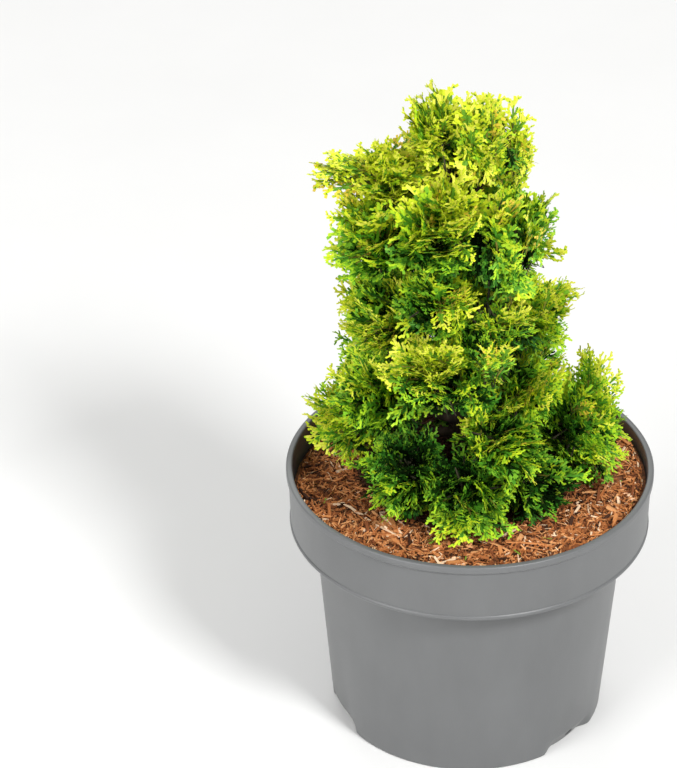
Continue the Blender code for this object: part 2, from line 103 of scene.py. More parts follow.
TWIG_TAN = LeafFinish("twig_tan", (0.240, 0.210, 0.032), 0.7)
TWIG_GREEN = LeafFinish("twig_green", (0.055, 0.080, 0.010), 0.6)
# Painted shade: the two near-black finishes stand in for shade deep in the crown and at the roots of the
# teeth.
LEAF_SHADOW = LeafFinish("leaf_black", (0.003, 0.010, 0.0015), 0.7, 0.03)
LEAF_SHADE = LeafFinish("leaf_shade", (0.007, 0.030, 0.003), 0.6, 0.05)
LEAF_DEEP = LeafFinish("leaf_deep", (0.022, 0.105, 0.008), 0.55, 0.12)
LEAF_GREEN = LeafFinish("leaf_green", (0.080, 0.270, 0.016))
LEAF_OLIVE = LeafFinish("leaf_olive", (0.130, 0.310, 0.018))
LEAF_FRESH = LeafFinish("leaf_fresh", (0.215, 0.480, 0.028))
LEAF_LIME = LeafFinish("leaf_lime", (0.455, 0.700, 0.026))
LEAF_YELLOW = LeafFinish("leaf_yellow", (0.640, 0.750, 0.026))
LEAF_GOLD = LeafFinish("leaf_gold", (0.800, 0.800, 0.085))
LEAF_BRONZE = LeafFinish("leaf_bronze", (0.820, 0.610, 0.060))


class Tone(Enum):
    """How a spray is tinted, as the finishes of its twig, inner teeth, outer teeth and tips; the darkest are
    painted shade.
    """

    BLACK = (LEAF_SHADOW, LEAF_SHADOW, LEAF_SHADOW, LEAF_SHADE)
    DARK = (LEAF_SHADOW, LEAF_SHADOW, LEAF_SHADE, LEAF_DEEP)
    SHADED = (LEAF_SHADE, LEAF_SHADE, LEAF_DEEP, LEAF_GREEN)
    DEEP = (TWIG_GREEN, LEAF_SHADE, LEAF_DEEP, LEAF_FRESH)
    GREEN = (TWIG_GREEN, LEAF_SHADE, LEAF_GREEN, LEAF_FRESH)
    FRESH = (TWIG_GREEN, LEAF_DEEP, LEAF_FRESH, LEAF_LIME)
    LIME = (TWIG_TAN, LEAF_GREEN, LEAF_FRESH, LEAF_LIME)
    YELLOW = (TWIG_TAN, LEAF_GREEN, LEAF_LIME, LEAF_YELLOW)
    GOLD = (TWIG_TAN, LEAF_OLIVE, LEAF_YELLOW, LEAF_GOLD)
    BRONZE = (TWIG_TAN, LEAF_OLIVE, LEAF_BRONZE, LEAF_YELLOW)

    @property
    def number(self) -> int:
        """The tone's place in the list of tones."""
        return list(Tone).index(self)


@dataclass(frozen=True)
class Lobe:
    """One mass of foliage as the part's source places it: an ellipsoid with long single sprays as spurs.

    Its gold is added to its tier's, and its strand is how far its sprays turn upright.
    """

    name: str
    x: float
    y: float
    height: float
    half_width: float
    half_height: float
    spurs: tuple[Triple, ...] = ()
    gold: float = 0.0
    strand: float = 0.0


@dataclass(frozen=True)
class Tier:
    """A storey of the crown: how its boughs rise, how its sprays lift and how golden it is."""

    name: str
    branch_rise: float
    spray_lift: float
    gold: float
    lobes: tuple[Lobe, ...]
    cut: Detail = Detail.FINE


@dataclass(frozen=True)
class TrunkStation:
    """The trunk's lean and radius at one height."""

    height: float
    lean_x: float
    lean_y: float
    radius: float

    @property
    def middle(self) -> Vector:
        """The middle of the trunk at this station."""
        return Vector((self.lean_x, self.lean_y, self.height))


MULCH_CROWN = 0.1465
CLEAR = 0.0003
TRUNK_FOOT = MULCH_CROWN + CLEAR
TRUNK = (
    TrunkStation(TRUNK_FOOT, 0.0, 0.0, 0.012),
    TrunkStation(0.15, 0.0, 0.0, 0.0092),
    TrunkStation(0.156, -0.0005, 0.0, 0.0078),
    TrunkStation(0.175, -0.002, 0.0003, 0.007),
    TrunkStation(0.21, -0.0055, 0.0008, 0.006),
    TrunkStation(0.25, -0.009, 0.001, 0.0048),
    TrunkStation(0.29, -0.0105, 0.0005, 0.0037),
    TrunkStation(0.32, -0.0105, 0.0005, 0.0027),
    TrunkStation(0.338, -0.0125, 0.0015, 0.0018),
)
TIERS = (
    Tier("crown", 0.032, 0.3, 0.84, (
        Lobe("left", -0.044, 0.0035, 0.341, 0.034, 0.021,
             ((178.0, 8.0, 0.049), (168.0, 24.0, 0.04)), 0.3),
        Lobe("leader", -0.0185, 0.0045, 0.367, 0.022, 0.028, ((95.0, 84.0, 0.0225),), 0.16),
        Lobe("right", 0.0015, 0.0, 0.365, 0.02, 0.031, ((60.0, 82.0, 0.03),), 0.02, 0.45),
        Lobe("spire", 0.0175, 0.0045, 0.353, 0.015, 0.034, ((0.0, 86.0, 0.035),), 0.12, 0.6),
        Lobe("back", -0.007, 0.0245, 0.343, 0.03, 0.033, (), 0.14),
    ), Detail.BROAD),
    Tier("upper", 0.036, 0.1, 0.55, (
        Lobe("left", -0.052, -0.0085, 0.313, 0.028, 0.032, (), 0.07),
        Lobe("front_left", -0.019, -0.031, 0.328, 0.031, 0.033, (), 0.06),
        Lobe("front_right", 0.01, -0.027, 0.314, 0.025, 0.043, (), -0.2, 0.65),
        Lobe("right", 0.026, 0.0065, 0.304, 0.024, 0.034, ((4.0, 50.0, 0.029),), -0.03),
        Lobe("back_left", -0.034, 0.0315, 0.303, 0.033, 0.039),
        Lobe("back_right", 0.011, 0.0345, 0.299, 0.032, 0.04),
    ), Detail.BROAD),
    Tier("middle", 0.036, 0.0, 0.49, (
        Lobe("left", -0.047, -0.0085, 0.261, 0.028, 0.037, (), 0.2),
        Lobe("front_left", -0.019, -0.032, 0.285, 0.028, 0.028, (), 0.2),
        Lobe("front_right", 0.007, -0.037, 0.264, 0.023, 0.038, (), 0.02, 0.6),
        Lobe("right", 0.03, -0.0015, 0.259, 0.028, 0.034, ((4.0, 26.0, 0.031),), 0.11),
        Lobe("back_left", -0.04, 0.0315, 0.252, 0.031, 0.035),
        Lobe("back", -0.004, 0.042, 0.243, 0.035, 0.038),
    )),
    Tier("shelf", 0.03, -0.15, 0.49, (
        Lobe("front", -0.02, -0.0465, 0.244, 0.039, 0.029, (), 0.22),
        Lobe("left", -0.0515, -0.0225, 0.22, 0.031, 0.033, (), 0.02),
        Lobe("right", 0.027, -0.021, 0.219, 0.027, 0.031, (), 0.16),
    )),
    Tier("skirt", 0.016, -0.1, 0.35, (
        Lobe("left", -0.068, -0.0035, 0.195, 0.024, 0.03, ((186.0, 8.0, 0.029),), 0.3),
        Lobe("front_left", -0.0385, -0.0365, 0.177, 0.029, 0.035, (), -0.02),
        Lobe("front", -0.006, -0.0485, 0.171, 0.031, 0.029, ((262.0, -35.0, 0.033),), 0.02),
        Lobe("front_right", 0.015, -0.04, 0.198, 0.029, 0.034, (), 0.12),
        Lobe("near_right", 0.033, -0.033, 0.167, 0.026, 0.026, (), -0.08),
        Lobe("right", 0.061, -0.001, 0.185, 0.027, 0.045,
             ((0.0, 78.0, 0.045), (5.0, -10.0, 0.031)), 0.1),
        Lobe("back_left", -0.04, 0.035, 0.198, 0.036, 0.043),
        Lobe("back", 0.001, 0.0505, 0.186, 0.034, 0.04),
        Lobe("back_right", 0.033, 0.034, 0.196, 0.029, 0.04),
    )),
)
LEADER = "crown_leader"
# The photograph's line of sight, into the picture.
SIGHT = Vector((0.045, 0.875, -0.482)).normalized()
# Clefts: the middle and the radius of each.
CLEFTS = (
    (-0.0273, -0.0662, 0.2277, 0.0125), (-0.0348, -0.0445, 0.2032, 0.011),
    (-0.039, -0.0522, 0.1985, 0.0095), (-0.0151, -0.0619, 0.2231, 0.012),
    (-0.0346, -0.074, 0.2401, 0.0066), (0.0019, -0.058, 0.2202, 0.0068),
    (-0.0686, -0.038, 0.1728, 0.0085), (0.0277, -0.028, 0.3024, 0.0044),
    (0.0262, -0.023, 0.24, 0.006), (0.002, -0.042, 0.324, 0.005),
    (-0.04, -0.05, 0.237, 0.0045), (-0.0037, -0.0567, 0.1975, 0.0075),
    (-0.0152, -0.0473, 0.1948, 0.008), (0.0063, -0.06, 0.2438, 0.0056),
    (0.0238, -0.036, 0.2583, 0.005), (0.0457, -0.0344, 0.211, 0.005),
    (0.0475, -0.0191, 0.1873, 0.0062), (0.045, -0.0379, 0.1852, 0.007),
    (-0.0323, -0.0512, 0.2814, 0.0085), (-0.0451, -0.0236, 0.2839, 0.0062),
    (-0.0356, -0.0469, 0.343, 0.0045), (-0.0357, -0.0507, 0.3197, 0.0045),
    (-0.0117, -0.0496, 0.3074, 0.0055), (0.0013, -0.0459, 0.3056, 0.005),
    (-0.0141, -0.013, 0.3689, 0.0056), (-0.0514, -0.0205, 0.3496, 0.0045),
    (0.018, -0.0077, 0.349, 0.0034), (-0.0199, -0.0658, 0.1849, 0.005),
    (-0.0023, -0.054, 0.2694, 0.004), (-0.0052, -0.0674, 0.2607, 0.004),
    (0.0122, -0.0581, 0.2174, 0.005), (0.0437, -0.04, 0.1654, 0.005),
    (0.0089, -0.0705, 0.1769, 0.0038), (-0.0686, -0.0418, 0.2088, 0.0038),
)
# Ways through to the sky: x, height and radius of each, where it crosses the plane y = 0.
SKY_GAPS = (
    (-0.011, 0.3502, 0.0048), (-0.0134, 0.3721, 0.0026), (-0.0402, 0.3496, 0.0028),
    (-0.0619, 0.3439, 0.003), (-0.0571, 0.3389, 0.0026), (0.0096, 0.3674, 0.0028),
    (-0.0849, 0.3603, 0.006), (-0.0731, 0.3685, 0.005), (-0.0629, 0.3677, 0.005),
    (-0.0555, 0.3694, 0.0035), (-0.0385, 0.3931, 0.004), (-0.0068, 0.3984, 0.0056),
    (-0.02, 0.4034, 0.0042), (-0.041, 0.3901, 0.0058), (-0.0444, 0.3824, 0.0044),
    (0.0297, 0.3863, 0.0056), (0.0353, 0.3748, 0.0044), (0.0168, 0.3896, 0.0042),
    (-0.0083, 0.3961, 0.004), (0.0353, 0.3687, 0.007), (0.036, 0.3357, 0.006),
    (0.0509, 0.323, 0.005), (0.0525, 0.3068, 0.0065), (0.046, 0.2842, 0.0075),
    (0.06, 0.252, 0.007), (0.0566, 0.2366, 0.006), (0.0907, 0.1952, 0.005),
    (-0.0968, 0.1957, 0.006), (-0.0872, 0.2191, 0.007), (-0.077, 0.2526, 0.006),
    (-0.0916, 0.1669, 0.005), (-0.0625, 0.1296, 0.008), (-0.0522, 0.1169, 0.006),
    (0.0384, 0.1126, 0.006),
)
# Tufts past the shells: azimuth, elevation and reach of each, by the name of their mass.
TUFTS = {
    "crown_left": (
        (175, -4, 0.04), (-173, -8, 0.034), (174, 12, 0.038), (-165, 16, 0.033), (-60, 52, 0.024),
        (-20, 48, 0.026), (10, 50, 0.027), (-110, 50, 0.025), (-85, 40, 0.025), (-60, 68, 0.024),
        (-130, 62, 0.024), (-15, 25, 0.029), (-40, 30, 0.025),
    ),
    "upper_left": ((151, 39, 0.027), (178, 56, 0.026), (176, -25, 0.025)),
    "crown_right": (
        (49, 55, 0.023), (-80, -35, 0.02), (-55, -50, 0.022), (-110, -15, 0.016), (-72, -54, 0.025),
        (-53, -58, 0.0262), (-120, -58, 0.029), (-95, -70, 0.031),
    ),
    "crown_spire": (
        (-110, -48, 0.02), (-80, -60, 0.023), (63, 62, 0.0275), (-8, -9, 0.0125), (-42, -7, 0.015),
    ),
    "upper_front_right": (
        (-154, 78, 0.0345), (86, 77, 0.0325), (52, 70, 0.033), (-100, 62, 0.033), (-60, 70, 0.035),
        (-95, 42, 0.029), (-125, 50, 0.03), (-40, -50, 0.036), (-60, -35, 0.031),
    ),
    "crown_leader": (
        (-60, -40, 0.018), (-75, -62, 0.027), (-150, -10, 0.023), (-165, -30, 0.024),
    ),
    "upper_front_left": (
        (-20, 50, 0.027), (-75, 60, 0.028), (0, 70, 0.029), (35, 64, 0.03), (-30, 74, 0.03),
        (-45, 55, 0.028),
    ),
    "shelf_right": ((-110, 15, 0.027), (-80, 20, 0.027), (-140, 10, 0.027)),
    "middle_right": ((9, 21, 0.0285), (-130, 25, 0.027), (-120, -5, 0.027)),
    "middle_left": ((160, 28, 0.0215),),
    "skirt_right": (
        (71, 60, 0.037), (45, 53, 0.0365), (-42, -18, 0.028), (-52, -26, 0.031), (-62, -22, 0.033),
        (-74, -12, 0.033),
    ),
    "skirt_near_right": ((-14, -2, 0.028), (-5, 8, 0.03), (4, -4, 0.028)),
    "skirt_front_left": ((-165, 4, 0.03), (169, 1, 0.032)),
    "skirt_front": ((-60, -39, 0.025),),
    "shelf_front": (
        (-128, 50, 0.033), (-100, 56, 0.033), (-74, 52, 0.033), (-52, 44, 0.034), (-150, 42, 0.035),
    ),
    "middle_front_right": (
        (-60, 45, 0.03), (-30, 40, 0.028), (-50, 20, 0.024), (-80, 60, 0.034), (-20, 10, 0.022),
    ),
    "middle_front_left": ((-60, 20, 0.028), (-95, 5, 0.028)),
    "upper_back_left": ((150, -50, 0.035), (-178, -45, 0.034)),
    "middle_back_left": ((160, 45, 0.033), (-172, -45, 0.032), (130, -50, 0.033)),
    "skirt_back_left": ((170, 50, 0.038), (130, 55, 0.039)),
    "middle_back": ((100, -50, 0.035), (60, -48, 0.035)),
    "skirt_back": ((100, 52, 0.037),),
    "skirt_back_right": ((65, 52, 0.036),),
}


def principled(name: str, roughness: float) -> tuple[Material, Node]:
    """A new node material.

    Args:
        name: The material's name.
        roughness: The shader's roughness.

    Returns:
        The material and its Principled shader.
    """
    made = bpy.data.materials.new(name)
    made.use_nodes = True
    shader = made.node_tree.nodes["Principled BSDF"]
    shader.inputs["Roughness"].default_value = roughness
    return made, shader


def plain_material(name: str, colour: Triple, roughness: float, specular: float = 0.22) -> Material:
    """A material of one plain colour.

    Args:
        name: The material's name.
        colour: Its base colour, linear red, green and blue.
        roughness: The shader's roughness.
        specular: The shader's specular level.

    Returns:
        The new material.
    """
    made, shader = principled(name, roughness)
    shader.inputs["Base Color"].default_value = (*colour, 1.0)
    shader.inputs["Specular IOR Level"].default_value = specular
    return made


def socket(node: Node, name: str, output: bool = False) -> NodeSocket:
    """The enabled socket of a node that has a name.

    Args:
        node: The node to look at.
        name: The socket's name.
        output: True for an output socket.

    Returns:
        The first enabled socket of that name.
    """
    found = node.outputs if output else node.inputs
    return next(s for s in found if s.name == name and s.enabled)


@dataclass
class NodeGroup:
    """A node group under construction, with its named inputs and outputs."""

    name: str
    kind: str
    inputs: tuple[tuple[str, str, object], ...]
    outputs: tuple[tuple[str, str], ...]
    tree: NodeTree = field(init=False)
    entry: Node = field(init=False)
    exit: Node = field(init=False)

    def __post_init__(self) -> None:
        """Makes the empty tree and its sockets."""
        self.tree = bpy.data.node_groups.new(self.name, self.kind)
        for name, kind, value in self.inputs:
            made = self.tree.interface.new_socket(name, in_out="INPUT", socket_type=kind)
            if value is not None:
                made.default_value = value
        for name, kind in self.outputs:
            self.tree.interface.new_socket(name, in_out="OUTPUT", socket_type=kind)
        self.entry = self.tree.nodes.new("NodeGroupInput")
        self.exit = self.tree.nodes.new("NodeGroupOutput")

    def node(self, kind: str, inputs: dict[int | str, object] | None = None, **settings: object) -> Node:
        """Adds a node, sets its properties and feeds its inputs.

        Args:
            kind: The node's type name.
            inputs: A plain value or the socket to link, by each input's name or number.
            settings: Property values by name.

        Returns:
            The new node.
        """
        made = self.tree.nodes.new(kind)
        for name, value in settings.items():
            setattr(made, name, value)
        for name, value in (inputs or {}).items():
            target = made.inputs[name] if isinstance(name, int) else socket(made, name)
            if isinstance(value, NodeSocket):
                self.tree.links.new(value, target)
            else:
                target.default_value = value
        return made

    def attribute(self, name: str, kind: str) -> NodeSocket:
        """The socket with the value of an attribute of the mesh, by its name and data type."""
        made = self.node("GeometryNodeInputNamedAttribute", {"Name": name}, data_type=kind)
        return socket(made, "Attribute", True)

    def put_out(self, **sources: NodeSocket) -> NodeTree:
        """Links the group's outputs, by name.

        Args:
            sources: The socket to link to each output.

        Returns:
            The finished tree.
        """
        for name, source in sources.items():
            self.tree.links.new(source, self.exit.inputs[name])
        return self.tree


class SurfaceEffects:
    """The shader node groups that more than one finish uses, each built once."""

    @staticmethod
    def _noise(group: NodeGroup, detail: float, roughness: float) -> NodeSocket:
        """Noise on the piece's own coordinates, by the group's inputs Stretch and Scale.

        Args:
            group: The group under construction.
            detail: How many octaves the noise has.
            roughness: How strong its finer octaves are.

        Returns:
            The socket with the noise.
        """
        given = group.entry.outputs
        place = group.node("ShaderNodeVectorMath", {
            0: group.node("ShaderNodeTexCoord").outputs["Object"], 1: given["Stretch"],
        }, operation="MULTIPLY")
        return group.node("ShaderNodeTexNoise", {
            "Vector": place.outputs[0], "Scale": given["Scale"], "Detail": detail, "Roughness": roughness,
        }).outputs["Fac"]

    @staticmethod
    def mottle() -> NodeTree:
        """Soft blotches over a surface.

        Returns:
            A group that mixes two colours by stretched noise and puts out the colour and the mask.
        """
        name = "surface_mottle"
        if name in bpy.data.node_groups:
            return bpy.data.node_groups[name]
        group = NodeGroup(name, "ShaderNodeTree", (
            ("Light", "NodeSocketColor", (1.0, 1.0, 1.0, 1.0)),
            ("Dark", "NodeSocketColor", (0.0, 0.0, 0.0, 1.0)),
            ("Scale", "NodeSocketFloat", 40.0),
            ("Stretch", "NodeSocketVector", (1.0, 1.0, 1.0)),
            ("Low", "NodeSocketFloat", 0.35),
            ("High", "NodeSocketFloat", 0.65),
        ), (("Colour", "NodeSocketColor"), ("Mask", "NodeSocketFloat")))
        given = group.entry.outputs
        cloud = SurfaceEffects._noise(group, 6.0, 0.6)
        mask = group.node("ShaderNodeMapRange", {
            "Value": cloud, "From Min": given["Low"], "From Max": given["High"],
        }).outputs["Result"]
        mix = group.node("ShaderNodeMix", {
            "Factor": mask, "A": given["Dark"], "B": given["Light"],
        }, data_type="RGBA")
        return group.put_out(Colour=socket(mix, "Result", True), Mask=mask)

    @staticmethod
    def grain() -> NodeTree:
        """Fine roughness of a surface.

        Returns:
            A group that puts out a bumped normal.
        """
        name = "surface_grain"
        if name in bpy.data.node_groups:
            return bpy.data.node_groups[name]
        group = NodeGroup(name, "ShaderNodeTree", (
            ("Scale", "NodeSocketFloat", 600.0),
            ("Stretch", "NodeSocketVector", (1.0, 1.0, 1.0)),
            ("Strength", "NodeSocketFloat", 0.2),
            ("Distance", "NodeSocketFloat", 0.0005),
        ), (("Normal", "NodeSocketVector"),))
        bump = group.node("ShaderNodeBump", {
            "Height": SurfaceEffects._noise(group, 4.0, 0.5),
            "Strength": group.entry.outputs["Strength"], "Distance": group.entry.outputs["Distance"],
        })
        return group.put_out(Normal=bump.outputs["Normal"])


def place_group(made: Material, tree: NodeTree, **values: object) -> Node:
    """Puts a node group in a material and sets its inputs.

    Args:
        made: The material.
        tree: The group to place.
        values: Input values by socket name.

    Returns:
        The group's node.
    """
    node = made.node_tree.nodes.new("ShaderNodeGroup")
    node.node_tree = tree
    for name, value in values.items():
        node.inputs[name].default_value = value
    return node


@dataclass(frozen=True)
class MottledFinish:
    """A surface of two blotched colours with a fine grain: plastic, bark, soil or floor."""

    name: str
    light: Triple
    dark: Triple
    roughness: float
    scale: float
    stretch: Triple = (1.0, 1.0, 1.0)
    low: float = 0.35
    high: float = 0.65
    grain_scale: float = 600.0
    grain_stretch: Triple = (1.0, 1.0, 1.0)
    grain_strength: float = 0.2
    grain_distance: float = 0.0005

    def material(self) -> Material:
        """The finish as a material.

        Returns:
            A material with the mottle on its colour and the grain on its normal.
        """
        made, shader = principled(self.name, self.roughness)
        mottle = place_group(
            made, SurfaceEffects.mottle(), Light=(*self.light, 1.0), Dark=(*self.dark, 1.0),
            Scale=self.scale, Stretch=self.stretch, Low=self.low, High=self.high,
        )
        grain = place_group(
            made, SurfaceEffects.grain(), Scale=self.grain_scale, Stretch=self.grain_stretch,
            Strength=self.grain_strength, Distance=self.grain_distance,
        )
        made.node_tree.links.new(mottle.outputs["Colour"], shader.inputs["Base Color"])
        made.node_tree.links.new(grain.outputs["Normal"], shader.inputs["Normal"])
        return made


def add_object(name: str, mesh: Mesh) -> Object:
    """An object of a mesh, at the origin of the scene.

    Args:
        name: The object's name.
        mesh: Its mesh.

    Returns:
        The new object.
    """
    made = bpy.data.objects.new(name, mesh)
    bpy.context.scene.collection.objects.link(made)
    return made


def mesh_of(name: str, verts: list, faces: list) -> Mesh:
    """A mesh from points and faces.

    Args:
        name: The mesh's name.
        verts: Its points.
        faces: Its faces, as indices into the points.

    Returns:
        The new mesh.
    """
    mesh = bpy.data.meshes.new(name)
    mesh.from_pydata([tuple(v) for v in verts], [], faces)
    mesh.validate()
    return mesh


def baked(obj: Object) -> Object:
    """Turns an object's evaluated shape into its own plain mesh.

    Args:
        obj: An object with modifiers.

    Returns:
        The same object, without modifiers.
    """
    graph = bpy.context.evaluated_depsgraph_get()
    mesh = bpy.data.meshes.new_from_object(obj.evaluated_get(graph))
    mesh.name = obj.name
    obj.modifiers.clear()
    obj.data = mesh
    return obj


def lofted(rings: list[list[Vector]]) -> Skin:
    """A closed skin over rings of equal length.

    Args:
        rings: The rings, each a list of points.

    Returns:
        The points and the faces, with a flat cap at each end.
    """
    count = len(rings[0])
    verts = [point for ring in rings for point in ring]
    faces = []
    for low in range(0, (len(rings) - 1) * count, count):
        for k in range(count):
            following = (k + 1) % count
            faces.append((low + k, low + following, low + count + following, low + count + k))
    faces.append(tuple(range(count - 1, -1, -1)))
    faces.append(tuple(range(len(verts) - count, len(verts))))
    return verts, faces


def joined(skins: list[Skin]) -> Skin:
    """Several closed skins as one.

    Args:
        skins: The points and faces of each.

    Returns:
        The points and faces of them all.
    """
    verts, faces = [], []
    for more_verts, more_faces in skins:
        faces += [tuple(i + len(verts) for i in face) for face in more_faces]
        verts += more_verts
    return verts, faces


def pattern_object(name: str, verts: list[Vector], faces: list, parts: list[int]) -> Object:
    """A pattern to copy, in no scene.

    Args:
        name: The object's name.
        verts: Its points.
        faces: Its faces.
        parts: The part of the pattern that each face belongs to.

    Returns:
        The new object, with its parts as a face attribute.
    """
    mesh = mesh_of(name, verts, faces)
    attribute = mesh.attributes.new("part", "FLOAT", "FACE")
    attribute.data.foreach_set("value", [float(part) for part in parts])
    return bpy.data.objects.new(name, mesh)


def run_nodes(obj: Object, tree: NodeTree, **values: object) -> Object:
    """Runs a Geometry Nodes tree on an object and keeps the result as its plain mesh.

    Args:
        obj: The object.
        tree: The tree.
        values: The tree's inputs by name.

    Returns:
        The same object, without modifiers.
    """
    modifier = obj.modifiers.new(tree.name, "NODES")
    modifier.node_group = tree
    inputs = {s.name: s.identifier for s in tree.interface.items_tree if s.in_out == "INPUT"}
    for name, value in values.items():
        modifier[inputs[name]] = value
    return baked(obj)


def clamp(value: float, low: float = 0.0, high: float = 1.0) -> float:
    """A value kept between two limits."""
    return min(max(value, low), high)


def pointing(azimuth: float, elevation: float) -> Vector:
    """The unit vector at an azimuth and an elevation in degrees."""
    a, e = math.radians(azimuth), math.radians(elevation)
    return Vector((math.cos(a) * math.cos(e), math.sin(a) * math.cos(e), math.sin(e)))


# The values of a copy that its point carries, and their data types.
COPY_COLUMNS = {"variant": "INT", "tone": "FLOAT", "turn": "FLOAT_VECTOR", "size": "FLOAT_VECTOR"}


@dataclass
class Scatter:
    """Stands copies of a few patterns on points, by a Geometry Nodes tree that ends in plain faces."""

    name: str
    patterns: list[Object]
    finishes: list[Material]
    parts: int = 1

    def _dressed(self, group: NodeGroup, faces: NodeSocket) -> NodeSocket:
        """Gives each face the finish that its copy's tone and its own part ask for.

        Args:
            group: The tree under construction.
            faces: The socket with the realized copies.

        Returns:
            The socket with the dressed copies.
        """
        code = group.node("ShaderNodeMath", {
            0: group.attribute("tone", "FLOAT"), 1: float(self.parts), 2: group.attribute("part", "FLOAT"),
        }, operation="MULTIPLY_ADD").outputs[0]
        for number, finish in enumerate(self.finishes):
            same = group.node("FunctionNodeCompare", {
                "A": code, "B": float(number), "Epsilon": 0.25,
            }, data_type="FLOAT", operation="EQUAL")
            faces = group.node("GeometryNodeSetMaterial", {
                "Geometry": faces, "Selection": same.outputs["Result"], "Material": finish,
            }).outputs["Geometry"]
        return faces

    def tree(self) -> NodeTree:
        """The node tree.

        Returns:
            A tree with inputs for the patterns and for a size that scales every copy.
        """
        group = NodeGroup(self.name, "GeometryNodeTree", (
            ("Geometry", "NodeSocketGeometry", None),
            ("Patterns", "NodeSocketCollection", None),
            ("Size", "NodeSocketFloat", 1.0),
        ), (("Geometry", "NodeSocketGeometry"),))
        given = group.entry.outputs
        supply = group.node("GeometryNodeCollectionInfo", {
            "Collection": given["Patterns"], "Separate Children": True, "Reset Children": True,
        })
        turn = group.node("FunctionNodeEulerToRotation", {"Euler": group.attribute("turn", "FLOAT_VECTOR")})
        scale = group.node("ShaderNodeVectorMath", {
            0: group.attribute("size", "FLOAT_VECTOR"), "Scale": given["Size"],
        }, operation="SCALE")
        stand = group.node("GeometryNodeInstanceOnPoints", {
            "Points": given["Geometry"], "Instance": socket(supply, "Instances", True), "Pick Instance": True,
            "Instance Index": group.attribute("variant", "INT"), "Rotation": turn.outputs["Rotation"],
            "Scale": scale.outputs[0],
        })
        real = group.node("GeometryNodeRealizeInstances", {"Geometry": stand.outputs["Instances"]})
        return group.put_out(Geometry=self._dressed(group, real.outputs["Geometry"]))

    def piece(self, name: str, copies: list[Copy]) -> Object:
        """One joined piece of copies.

        Args:
            name: The piece's name.
            copies: Where and how each copy stands.

        Returns:
            The piece, as a plain mesh.
        """
        mesh = mesh_of(name, [copy.place for copy in copies], [])
        for label, kind in COPY_COLUMNS.items():
            values = np.array([getattr(copy, label) for copy in copies], int if kind == "INT" else float)
            attribute = mesh.attributes.new(label, kind, "POINT")
            attribute.data.foreach_set("vector" if kind == "FLOAT_VECTOR" else "value", values.ravel())
        obj = add_object(name, mesh)
        supply = bpy.data.collections.new(f"{name}_patterns")
        for pattern in self.patterns:
            supply.objects.link(pattern)
        run_nodes(obj, bpy.data.node_groups.get(self.name) or self.tree(), Patterns=supply, Size=1.0)
        bpy.data.collections.remove(supply)
        for label in (*COPY_COLUMNS, "part"):
            if label in obj.data.attributes:
                obj.data.attributes.remove(obj.data.attributes[label])
        return obj

    def clear(self) -> None:
        """Removes the patterns once every piece is made."""
        for pattern in self.patterns:
            bpy.data.objects.remove(pattern)


@dataclass(frozen=True)
class Copy:
    """One copy of a pattern: its place, its turn, its size along its own axes, its pattern and its tone."""

    place: Vector
    turn: Triple
    size: Triple
    variant: int
    tone: int


def turned(heading: Vector, normal: Vector) -> Triple:
    """The turn that lays a pattern along a heading with its upper side to a normal.

    Args:
        heading: Where the pattern's X axis goes.
        normal: Where its Z axis goes, square to the heading.

    Returns:
        The turn as Euler angles.
    """
    across = normal.cross(heading)
    return tuple(Matrix((heading, across, normal)).transposed().to_euler())


# A tooth's corners after its root, as shares of its length and of half its width.
TOOTH_CORNERS = ((0.38, -0.84), (0.96, -0.90), (1.0, 0.80), (0.38, 0.84))


